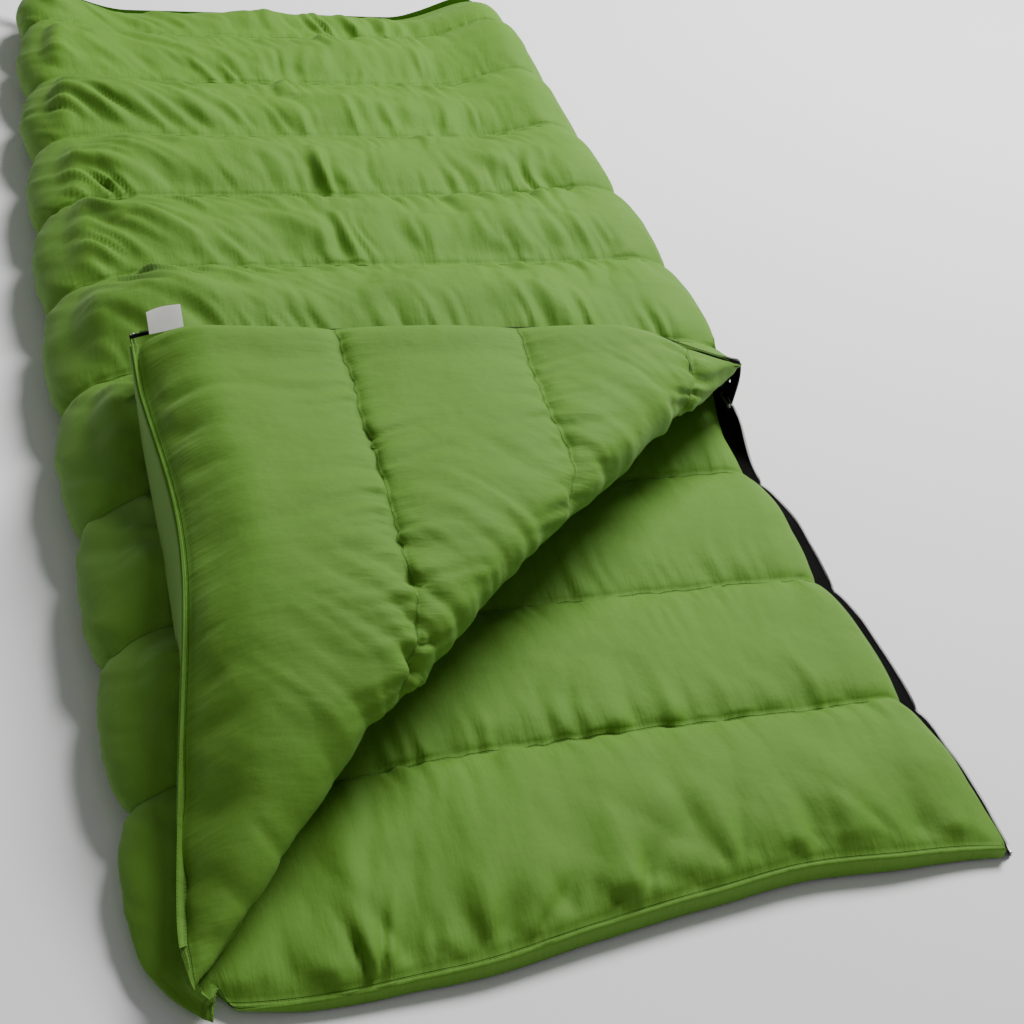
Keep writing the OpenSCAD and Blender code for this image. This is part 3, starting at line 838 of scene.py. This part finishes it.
def fill_piece(name, k, c0, c1, shrink=15 * MM):
    """The down of one chamber."""
    count = max(6, round((run_of(c1) - run_of(c0)) / DOWN_GRID))
    c = np.linspace(c0, c1, count)
    y0, y1 = HEAD_Y + k * PITCH + 9 * MM, HEAD_Y + (k + 1) * PITCH - 9 * MM
    if k == 0:
        y0 += 25 * MM
    if k == CHAMBERS - 1:
        y1 -= HEM_W
    y = (y0 + y1) / 2 - (y1 - y0) / 2 * np.cos(np.linspace(0, math.pi, 11))
    cc, yy = np.meshgrid(c, y, indexing="ij")
    mid, edge = middle(cc, yy)
    n = normals(mid.transpose(1, 0, 2)).transpose(1, 0, 2)
    h = half_thickness(run_of(cc), yy, edge, 11) - shrink
    end = np.sin(np.linspace(0.12, math.pi - 0.12, count))[:, None] ** 0.3
    h = np.maximum(h * end, 1.2 * MM)
    rings = np.concatenate([mid + n * h[..., None], (mid - n * h[..., None])[:, -2:0:-1]], 1)
    rows = np.concatenate([yy, yy[:, -2:0:-1]], 1)
    return loft(name, rings, np.broadcast_to(run_of(cc[:, :1]), rows.shape), rows)


def wall_strips(name, strips):
    """Netting walls: each strip is a pair of lines, its low and its high edge."""
    points, quads, flat = [], [], []
    count = 0
    for a, b in strips:
        t = np.linspace(0, 1, 3)[None, :, None]
        p = a[:, None] * (1 - t) + b[:, None] * t
        run = path_length(a)
        width = np.sqrt(((b - a) ** 2).sum(1))
        flat.append(pattern_of(run[:, None], width[:, None] * t[..., 0]))
        points.append(p.reshape(-1, 3))
        quads.append(grid_quads(*p.shape[:2]).reshape(-1, 4) + count)
        count += p.shape[0] * 3
    return mesh_piece(name, np.concatenate(points), np.concatenate(quads), np.concatenate(flat))


# ---- materials


class Paint:
    """A material's node tree, built up in short steps."""

    def __init__(self, name, colour, roughness, metallic=0.0, sheen=0.0):
        self.mat = bpy.data.materials.new(name)
        self.mat.use_nodes = True
        self.tree = self.mat.node_tree
        self.shader = self.tree.nodes["Principled BSDF"]
        self.shader.inputs["Base Color"].default_value = (*colour, 1)
        self.shader.inputs["Roughness"].default_value = roughness
        self.shader.inputs["Metallic"].default_value = metallic
        if sheen:
            self.shader.inputs["Sheen Weight"].default_value = sheen
            self.shader.inputs["Sheen Roughness"].default_value = 0.5
        attribute = self.node("Attribute")
        attribute.attribute_name = "pattern"
        split = self.node("SeparateXYZ")
        self.tree.links.new(attribute.outputs["Vector"], split.inputs[0])
        self.place = attribute.outputs["Vector"]
        self.x, self.y = split.outputs[0], split.outputs[1]
        coord = self.node("TexCoord")
        self.object_place = coord.outputs["Object"]

    def node(self, kind):
        return self.tree.nodes.new("ShaderNode" + kind)

    def feed(self, socket, value):
        """Set a socket to a number or a colour, or link another node's output to it."""
        if isinstance(value, tuple):
            socket.default_value = (*value, 1)
        elif isinstance(value, (int, float)):
            socket.default_value = value
        elif value is not None:
            self.tree.links.new(value, socket)

    def math(self, operation, a, b=None, c=None):
        node = self.node("Math")
        node.operation = operation
        for socket, value in zip(node.inputs, (a, b, c)):
            self.feed(socket, value)
        return node.outputs[0]

    def times(self, a, b):
        return self.math("MULTIPLY", a, b)

    def plus(self, a, b):
        return self.math("ADD", a, b)

    def gap(self, a, b):
        """The distance between two values."""
        return self.math("ABSOLUTE", self.math("SUBTRACT", a, b))

    def scaled(self, x, y):
        """The cloth coordinates, scaled."""
        node = self.node("Mapping")
        node.inputs["Scale"].default_value = (x, y, 1)
        self.tree.links.new(self.place, node.inputs["Vector"])
        return node.outputs[0]

    def noise(self, scale, detail=2.0, place=None):
        node = self.node("TexNoise")
        node.inputs["Scale"].default_value = scale
        node.inputs["Detail"].default_value = detail
        self.tree.links.new(place or self.place, node.inputs["Vector"])
        return node.outputs["Fac"]

    def stripes(self, coordinate, width):
        """A sine wave between 0 and 1."""
        wave = self.math("SINE", self.times(coordinate, 2 * math.pi / width))
        return self.math("MULTIPLY_ADD", wave, 0.5, 0.5)

    def near(self, distance, inner, outer):
        """1 within the inner distance, and 0 beyond the outer one."""
        node = self.node("MapRange")
        node.interpolation_type = "SMOOTHSTEP"
        for key, value in (("From Min", inner), ("From Max", outer), ("To Min", 1), ("To Max", 0)):
            node.inputs[key].default_value = value
        self.tree.links.new(distance, node.inputs["Value"])
        return node.outputs["Result"]

    def mix(self, share, a, b):
        node = self.node("Mix")
        node.data_type = "RGBA"
        for index, value in ((0, share), (6, a), (7, b)):
            self.feed(node.inputs[index], value)
        return node.outputs[2]

    def colour(self, value):
        self.tree.links.new(value, self.shader.inputs["Base Color"])

    def bump(self, height, distance, strength=1.0):
        node = self.node("Bump")
        node.inputs["Strength"].default_value = strength
        node.inputs["Distance"].default_value = distance
        self.tree.links.new(height, node.inputs["Height"])
        self.tree.links.new(node.outputs["Normal"], self.shader.inputs["Normal"])


def shade(colour, share):
    return tuple(c * share for c in colour)


THREAD = 0.9 * MM  # pitch of the cotton's threads
STITCH = 3.2 * MM  # pitch of its stitches


def cotton(name, colour):
    """Close downproof cotton with its seam and hem stitches, and painted shade darkening the band
    along each seam and hem line.
    """
    paint = Paint(name, colour, 0.74, sheen=0.06)
    paint.shader.inputs["Specular IOR Level"].default_value = 0.28
    paint.shader.inputs["Sheen Tint"].default_value = (0.8, 1.0, 0.6, 1)
    weave = paint.times(paint.stripes(paint.x, THREAD), paint.stripes(paint.y, THREAD))
    seam = paint.times(paint.y, 1 / PITCH)
    to_seam = paint.times(paint.gap(seam, paint.math("ROUND", seam)), PITCH)
    to_hem = paint.gap(paint.y, HEM_W)
    to_foot_hem = paint.gap(paint.y, CHAMBERS * PITCH - HEM_W)
    line = paint.math("MINIMUM", paint.math("MINIMUM", to_seam, to_hem), to_foot_hem)
    # painted shade: the band along each seam and hem line is darkened in the colour below, as if
    # shaded in the seam's crease; it also cuts a groove in the bump
    stitch_line_and_seam_shade = paint.near(line, 0.5 * MM, 1.6 * MM)
    in_stitch = paint.math("FRACT", paint.times(paint.x, 1 / STITCH))
    stitch = paint.near(paint.gap(in_stitch, 0.5), 0.28, 0.40)
    thread = paint.times(paint.near(line, 0.25 * MM, 0.6 * MM), stitch)
    tone = paint.mix(paint.noise(7.0, 3.0), shade(colour, 0.88), shade(colour, 1.10))
    tone = paint.mix(paint.times(paint.noise(160.0, 2.0), 0.35), tone, shade(colour, 0.78))
    tone = paint.mix(paint.times(weave, 0.10), tone, shade(colour, 1.3))
    # painted shade along each seam and hem line
    tone = paint.mix(paint.times(stitch_line_and_seam_shade, 0.18), tone, shade(colour, 0.38))
    paint.colour(paint.mix(paint.times(thread, 0.6), tone, shade(colour, 1.1)))
    height = paint.plus(paint.times(weave, 0.12),
                        paint.math("SUBTRACT", thread, paint.times(stitch_line_and_seam_shade, 0.8)))
    puckers = paint.times(paint.noise(1.0, 2.0, paint.scaled(105, 19)),
                          paint.near(line, 3 * MM, 60 * MM))
    height = paint.plus(height, paint.times(puckers, 1.9))
    ridges = paint.times(paint.noise(1.0, 3.0, paint.scaled(75, 17)), 1.3)
    height = paint.plus(height, paint.plus(ridges, paint.times(paint.noise(22.0, 4.0), 3.5)))
    paint.bump(height, 0.72 * MM)
    return paint.mat


def woven_tape(name, colour):
    paint = Paint(name, colour, 0.85)
    paint.shader.inputs["Specular IOR Level"].default_value = 0.03
    twill = paint.stripes(paint.plus(paint.x, paint.y), 1.1 * MM)
    ribs = paint.stripes(paint.x, 2.2 * MM)
    tone = paint.mix(paint.noise(60.0, 2.0), shade(colour, 0.8), shade(colour, 1.3))
    # the stitched line along the tape, in a lighter thread colour
    stitch_line_and_seam_shade = paint.near(paint.gap(paint.x, 4 * MM), 0.3 * MM, 0.8 * MM)
    paint.colour(paint.mix(paint.times(stitch_line_and_seam_shade, 0.5), tone, shade(colour, 2.2)))
    paint.bump(paint.plus(twill, paint.times(ribs, 0.5)), 0.12 * MM)
    return paint.mat


def nylon(name, colour):
    paint = Paint(name, colour, 0.42)
    paint.colour(paint.mix(paint.noise(900.0, 2.0, paint.object_place), shade(colour, 0.8),
                           shade(colour, 1.5)))
    return paint.mat


def netting(name, colour):
    paint = Paint(name, colour, 0.8, sheen=0.05)
    lattice = paint.math("MAXIMUM", paint.stripes(paint.x, 2 * MM), paint.stripes(paint.y, 2 * MM))
    paint.colour(paint.mix(lattice, shade(colour, 0.45), colour))
    paint.bump(lattice, 0.2 * MM)
    return paint.mat


def down_clusters(name, colour):
    paint = Paint(name, colour, 0.95, sheen=0.3)
    tufts = paint.noise(70.0, 6.0, paint.object_place)
    paint.colour(paint.mix(tufts, shade(colour, 0.75), shade(colour, 1.1)))
    paint.bump(tufts, 4 * MM)
    return paint.mat


def satin(name, colour):
    paint = Paint(name, colour, 0.38, sheen=0.1)
    ribs = paint.stripes(paint.y, 0.7 * MM)
    tone = paint.mix(paint.noise(90.0, 2.0), shade(colour, 0.9), shade(colour, 1.05))
    paint.colour(paint.mix(paint.times(ribs, 0.2), tone, shade(colour, 0.8)))
    paint.bump(ribs, 0.08 * MM)
    return paint.mat


def metal(name, colour, roughness, metallic, wear):
    paint = Paint(name, colour, roughness, metallic)
    grain = paint.noise(1400.0, 3.0, paint.object_place)
    paint.colour(paint.mix(grain, shade(colour, 0.85), shade(colour, wear)))
    paint.bump(paint.noise(2600.0, 2.0, paint.object_place), 0.03 * MM)
    return paint.mat


GREEN_RGB = (0.108, 0.258, 0.020)
SHELL = cotton("green_shell_cotton", GREEN_RGB)
LINING = cotton("green_lining_cotton", GREEN_RGB)
TAPE = woven_tape("black_woven_tape", (0.0045, 0.004, 0.004))
COIL = nylon("black_nylon_coil", (0.006, 0.0055, 0.0055))
NETTING = netting("white_netting", (0.75, 0.76, 0.74))
DOWN = down_clusters("white_down", (0.85, 0.83, 0.78))
LABEL = satin("plain_label_satin", (0.80, 0.79, 0.74))
NICKEL = metal("dull_nickel", (0.62, 0.61, 0.58), 0.34, 1.0, 1.1)
PAINTED = metal("black_painted_metal", (0.020, 0.019, 0.019), 0.36, 0.1, 1.6)


def declare(piece, mat, body, slot, *nodes):
    piece.data.materials.clear()
    piece.data.materials.append(mat)
    if body:
        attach(piece, body)
    if nodes:
        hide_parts(*nodes)
    return piece


# ---- shell and lining

TOP_ONLY = MID_TOP - 22 * MM  # the top panel's shell lies above this height
LINING_ONLY = SIDE_Z + 9 * MM  # and its lining above this one
SHELL_CUT = 25 * MM  # where the shells end beside the fold line
LINING_CUT = 88 * MM  # where the top's lining ends beside it
DOWN_CUT = 97 * MM  # where the down and the netting end beside it
LAST_CUT = 32 * MM  # where the down of the flap's last, narrow chamber ends
DOWN_GRID = 24 * MM
FLAP_SHRINK = 26 * MM  # the flap's down stays this far inside its crowns
FOLD_START = 45 * MM  # where the shell inside the fold begins, along the fold

shell_c = columns_of(22 * MM, FINE, 4.6 * MM)
shell_rows = rows_of(CHAMBERS)
shell_p, shell_s, shell_y = bag_sheet(shell_c, shell_rows, 1, seed=11)
bag_shell = grid_mesh("bag_shell", shell_p, shell_s, shell_y)
flap_back = twin(bag_shell, "flap_shell_cover")
cut(bag_shell, False, TOP_ONLY, SHELL_CUT)
cut(flap_back, True, TOP_ONLY, -SHELL_CUT)
flap_back.data.transform(HALF_TURN)

lining_c = columns_of(FINE, 20 * MM, 6 * MM)
lining_rows = rows_of(OPEN + 1)
lining_p, lining_s, lining_y = bag_sheet(lining_c, lining_rows, -1, seed=23)
bag_lining = grid_mesh("bag_lining", lining_p, lining_s, lining_y, flip=True)
cut(bag_lining, False, LINING_ONLY, LINING_CUT)

flap_p, flap_keep, flap_s, flap_y = flap_lining_sheet(FLAP_SEED)
flap_cover = grid_mesh("flap_lining_cover", flap_p, flap_s, flap_y, flap_keep, flip=True)

# the shell inside the fold
FOLD_LONG = (EDGE_X - HINGE[0]) / FOLD_DIR[0]
fold_s, fold_a = np.meshgrid(np.linspace(FOLD_START, FOLD_LONG, 90), np.linspace(-1, 1, 17))
fold_n = 23 * MM + 19 * MM * (1 - np.cos(fold_a * math.pi / 2))
fold_p = (HINGE + fold_s[..., None] * FOLD_DIR + fold_n[..., None] * FOLD_OUT)
fold_p[..., 2] += 2 * MM * np.sin(fold_a * math.pi / 2)
fold_shell = grid_mesh("fold_shell", fold_p, fold_s, HEAD_Y + PITCH / 2 + 30 * MM * fold_a)
tuck_in(bag_shell)
tuck_in(flap_back)

for piece in (bag_shell, flap_back, bag_lining, flap_cover, fold_shell):
    warp(piece)
declare(fold_shell, SHELL, None, "shell_cotton")
declare(bag_shell, SHELL, "bag", "shell_cotton", "bottom_shell", "top_shell")
declare(flap_back, SHELL, "flap", "shell_cotton", "flap_shell")
declare(bag_lining, LINING, "bag", "lining_cotton", "bottom_lining", "top_lining")
declare(flap_cover, LINING, None, "lining_cotton", "flap_lining")
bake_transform(flap_cover)
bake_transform(fold_shell)

# ---- the down

for k in range(CHAMBERS):
    piece = fill_piece("down_bottom_%02d" % (k + 1), k, 0.4, 2.4)
    declare(warp(piece), DOWN, "bag", "down", "bottom_down_%02d" % (k + 1))
    piece = fill_piece("down_top_%02d" % (k + 1), k, 2.6, 4.6)
    if k < OPEN:
        away = DOWN_CUT if k < OPEN - 1 else LAST_CUT
        other = fill_piece("down_flap_%02d" % (k + 1), k, 2.6, 4.6, shrink=FLAP_SHRINK)
        cut(other, True, 0, -away, fill=True)
        other.data.transform(HALF_TURN)
        tuck_in(other)
        declare(warp(other), DOWN, "flap", "down", "flap_down_%02d" % (k + 1))
        cut(piece, False, 0, DOWN_CUT, fill=True)
    declare(warp(piece), DOWN, "bag", "down", "top_down_%02d" % (k + 1))

# ---- netting walls


def wall(k, c0, c1, turned=False):
    y = HEAD_Y + k * PITCH
    c = np.linspace(c0, c1, max(4, round((run_of(c1) - run_of(c0)) / (30 * MM))))
    cc, yy = np.meshgrid(c, [y - 2 * MM, y, y + 2 * MM])
    mid = middle(cc, yy)[0]
    n = normals(mid)[1]
    mid = mid[1]
    h = SEAM_H - 5.5 * MM
    a, b = mid - n * h, mid + n * h
    if turned:
        turn = np.array(HALF_TURN)
        a, b = (q @ turn[:3, :3].T + turn[:3, 3] for q in (a, b))
    return settle(a), settle(b)


def fold_column(k, offset):
    """The top panel's column beside the fold line at a seam."""
    y = HEAD_Y + k * PITCH
    x = HINGE[0] + (y - HINGE[1]) * FOLD_DIR[0] / FOLD_DIR[1] + offset / FOLD_DIR[1]
    return 3 + (x + BEND_X) / (2 * BEND_X)


bottom_walls = [wall(k, 0.15, 2.42) for k in range(1, CHAMBERS)]
top_walls = [wall(k, 2.58, fold_column(k, -DOWN_CUT) if k < OPEN else 4.85)
             for k in range(1, CHAMBERS)]
flap_walls = [wall(k, fold_column(k, DOWN_CUT), 4.85, turned=True) for k in range(1, OPEN)]
block_y = np.linspace(HEAD_Y + 40 * MM, FOOT_Y - 40 * MM, 60)
block = []
for side in (-1, 1):
    grid = middle(*np.meshgrid([2.49, 2.5, 2.51], block_y))[0]
    reach = side * ((SEAM_H + (CROWN_H - SEAM_H) * bulge(block_y)) * 0.6 - 2.5 * MM)
    block.append(settle(grid[:, 1] + normals(grid)[:, 1] * reach[:, None]))
for name, strips, body, node in (
        ("netting_bottom", bottom_walls, "bag", "bottom_baffle_walls"),
        ("netting_top", top_walls, "bag", "top_baffle_walls"),
        ("netting_flap", flap_walls, "flap", "flap_baffle_walls"),
        ("netting_side", [tuple(block)], "bag", "side_block_baffle")):
    declare(wall_strips(name, strips), NETTING, body, "baffle_mesh", node)

# ---- hems


def panel(c, y):
    return middle(c, y)[0]


def turned_panel(c, y):
    """The middle of the folded-back panel, c running over its width from the fold line."""
    return folded_lining(HINGE[0] + c * (EDGE_X - HINGE[0]), y, FLAP_SEED, thick=0.0)


head_c = np.concatenate([steps_between(0.02, 1, 0.06), steps_between(1, 2, 0.012),
                         [2.0]])
head_hem = hem_band("head_hem_band", head_c, HEAD_Y, 1, panel, fall(head_c, 2.02, 0.15))
foot_low = hem_band("foot_hem_bottom", np.linspace(0.03, 2.45, 160), FOOT_Y, -1, panel, 1.0)
foot_top = hem_band("foot_hem_top", np.linspace(2.55, 4.97, 160), FOOT_Y, -1, panel, 1.0)
flap_c = np.linspace(0.0, 0.995, 150)
flap_hem = hem_band("flap_hem_band", flap_c, HEAD_Y, 1, turned_panel,
                    0.1 + 0.9 * rise(flap_c, 0.02, 0.16))
for piece, body, node in ((head_hem, "bag", "head_hem"), (foot_low, "bag", "bottom_foot_hem"),
                          (foot_top, "bag", "top_foot_hem"), (flap_hem, None, "flap_head_hem")):
    declare(warp(piece), SHELL, body, "shell_cotton", node)
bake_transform(flap_hem)

# ---- the zip

lower_closed, lower_line = closed_tape("zip_tape_low_closed", -1)
upper_closed, upper_line = closed_tape("zip_tape_high", 1)
open_rows = np.linspace(HEAD_Y + 1 * MM, ZIP_START, 150)
LOW_CLOSING, FLAP_CLOSING = 130 * MM, 55 * MM  # how long each edge takes to reach the zip
closing = rise(open_rows, ZIP_START - LOW_CLOSING, LOW_CLOSING)[:, None]
open_in = open_edge(open_rows, 0.04, 0.0)
open_out = open_edge(open_rows, 0.0, TAPE_W) * (1 - closing) + closing * np.stack(
    [0 * open_rows + ZIP_X, open_rows, 0 * open_rows + SIDE_Z - 1.6 * MM], 1)
tape_wave = noise(open_rows / (45 * MM), 0 * open_rows + 2.5, 81) * 2.5 * MM
open_out[:, 2] += (tape_wave - 15 * MM) * (1 - closing[:, 0])
open_out[:, 0] -= (4 + 16 * hump(open_rows, HEAD_Y, 0.16)) * MM * (1 - closing[:, 0])
lower_open = ribbon("zip_tape_low_open", open_in, open_out, 6, open_rows)


def joined(name, *parts):
    """One mesh of several."""
    bm = bmesh.new()
    for part in parts:
        bm.from_mesh(part.data)
        bpy.data.objects.remove(part)
    mesh = bpy.data.meshes.new(name)
    bm.to_mesh(mesh)
    bm.free()
    mesh.shade_smooth()
    return new_object(name, mesh)


tape_low = joined("zip_tape_low", lower_open, lower_closed)
declare(tape_low, TAPE, "bag", "zip_tape", "lower_zip_tape")
declare(upper_closed, TAPE, "bag", "zip_tape", "upper_zip_tape")

# the tape of the folded-back edge, round the fold and down to where the zip closes
turn_rows = np.linspace(HEAD_Y + 1 * MM, ZIP_START, 200)
joining = rise(turn_rows, ZIP_START - FLAP_CLOSING, FLAP_CLOSING)[:, None]


def turned_edge(reach, rows=turn_rows):
    """A line beside the folded-back panel's zip edge, reach beyond it."""
    return settle(folded_lining(np.full(len(rows), EDGE_X + reach), rows, FLAP_SEED, 0.0))


turn_in = turned_edge(-6 * MM)
hang = smooth((ZIP_START - 110 * MM - turn_rows) / (120 * MM))[:, None]
corner = 1 - rise(turn_rows, HEAD_Y, 60 * MM)
turn_hang = turned_edge((7 + 15 * corner) * MM) + hang * (1 - corner[:, None]) * (
    turned_edge(21 * MM) - turned_edge(7 * MM) - np.array([0, 0, 14 * MM]))
turn_out = turn_hang * (1 - joining) + joining * np.array(
    [ZIP_X, ZIP_START, SIDE_Z + 1.6 * MM])
tape_flap = ribbon("zip_tape_flap", turn_in, turn_out, 6, turn_rows)
declare(tape_flap, TAPE, None, "zip_tape", "flap_zip_tape")
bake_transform(tape_flap)

coil_low = joined("zip_coil_low",
                  coil("coil_a", open_out[3:], (0.85, 0, 0.3)),
                  coil("coil_b", lower_line, (0, 0, 1)))
declare(coil_low, COIL, "bag", "zip_coil", "lower_zip_coil")
coil_high = coil("zip_coil_high", upper_line, (0, 0, -1))
declare(coil_high, COIL, "bag", "zip_coil", "upper_zip_coil")
coil_flap = coil("zip_coil_flap", turn_out[3:], (turn_out - turn_in)[100] * (1, 1, 0))
declare(coil_flap, COIL, None, "zip_coil", "flap_zip_coil")
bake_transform(coil_flap)

stop_size = (1.8 * MM, 2.2 * MM, 1.7 * MM)
stop_low = nub("top_stop_low", open_out[1] + (1 * MM, 0, 0), stop_size, open_out[4] - open_out[1])
declare(stop_low, NICKEL, "bag", "bare_metal", "lower_top_stop")
stop_flap = nub("top_stop_flap", turn_out[1], stop_size, turn_out[4] - turn_out[1])
declare(stop_flap, NICKEL, "flap", "bare_metal", "flap_top_stop")

# ---- care label

LABEL_SIZE = 37 * MM
LABEL_START = HEAD_Y + 22 * MM
LABEL_GRID = 15
LEAN_FOOT, LEAN_MORE = 67, 9  # the label leans back from upright, in degrees
LABEL_WAVE = 2.0 * MM
label_y = np.linspace(LABEL_START, LABEL_START + LABEL_SIZE, LABEL_GRID)
base = turned_edge(5 * MM, label_y)
outwards = unit(turned_edge(25 * MM, label_y) - base)
up = np.linspace(0, 1, LABEL_GRID)
lean = np.radians(LEAN_FOOT + LEAN_MORE * up ** 2)
reach = np.cumsum(np.sin(lean)) * LABEL_SIZE / LABEL_GRID
climb = np.cumsum(np.cos(lean)) * LABEL_SIZE / LABEL_GRID
label_p = (base[None] + outwards[None] * (reach - reach[0])[:, None, None]
           + np.array([0, 0, 1.0]) * (climb - climb[0])[:, None, None])
wave = LABEL_WAVE * np.sin(np.linspace(0, 4.5, LABEL_GRID))
label_p = label_p + outwards[None] * (wave[None, :] * up[:, None])[..., None]
label = grid_mesh("care_label_ribbon", label_p, label_y[None, :] + 0 * label_p[..., 0],
                  up[:, None] * LABEL_SIZE + HEAD_Y)
declare(label, LABEL, "flap", "label", "care_label")

# ---- metal parts kept from the CAD

for node, mat in (("head_slider", PAINTED), ("head_slider_outer_pull", PAINTED),
                  ("head_slider_inner_pull", NICKEL), ("foot_slider", PAINTED),
                  ("foot_slider_pull", NICKEL), ("box_pin", NICKEL), ("insertion_pin", NICKEL)):
    part = bpy.data.objects[node]
    part.data.materials.clear()
    part.data.materials.append(mat)

# ---- floor, light and camera

floor_mesh = bpy.data.meshes.new("floor")
floor_mesh.from_pydata([(-6, -6, -0.0005), (6, -6, -0.0005), (6, 8, -0.0005), (-6, 8, -0.0005)],
                       [], [(0, 1, 2, 3)])
floor = new_object("floor", floor_mesh)
floor_paint = Paint("pale_floor", (0.95, 0.95, 0.95), 0.9)
floor.data.materials.append(floor_paint.mat)

world = bpy.data.worlds.new("world")
bpy.context.scene.world = world
world.use_nodes = True
world.node_tree.nodes["Background"].inputs["Color"].default_value = (1, 1, 1, 1)
world.node_tree.nodes["Background"].inputs["Strength"].default_value = 0.17


def lamp(name, place, target, size, power):
    data = bpy.data.lights.new(name, "AREA")
    data.shape = "DISK"
    data.size = size
    data.energy = power
    obj = new_object(name, data)
    obj.location = place
    obj.rotation_euler = (Vector(target) - Vector(place)).to_track_quat("-Z", "Y").to_euler()


lamp("key", (1.9, 1.5, 3.0), (0, 0.0, 0), 2.0, 256)
lamp("fill", (-0.4, -3.2, 3.2), (0, -0.4, 0), 2.0, 7)

CAMERA_PLACE = Vector((-0.5385, -2.0178, 1.3705))
CAMERA_TURN = (22.0, 36.74, 10.37)  # heading from +Y, look down, roll, in degrees
FOCAL = 1.8189453125  # focal length in frame widths
SHIFT = (-0.0458, 0.0104)


def make_camera():
    data = bpy.data.cameras.new("camera")
    data.sensor_width = 36
    data.lens = 36 * FOCAL
    data.shift_x, data.shift_y = SHIFT
    camera = new_object("camera", data)
    heading, down, roll = (math.radians(a) for a in CAMERA_TURN)
    look = Vector((math.sin(heading) * math.cos(down), math.cos(heading) * math.cos(down),
                   -math.sin(down)))
    right = look.cross(Vector((0, 0, 1))).normalized()
    up = right.cross(look)
    right2 = right * math.cos(roll) + up * math.sin(roll)
    up2 = up * math.cos(roll) - right * math.sin(roll)
    turn = Matrix((right2, up2, -look)).transposed()
    camera.matrix_world = Matrix.Translation(CAMERA_PLACE) @ turn.to_4x4()
    bpy.context.scene.camera = camera


make_camera()
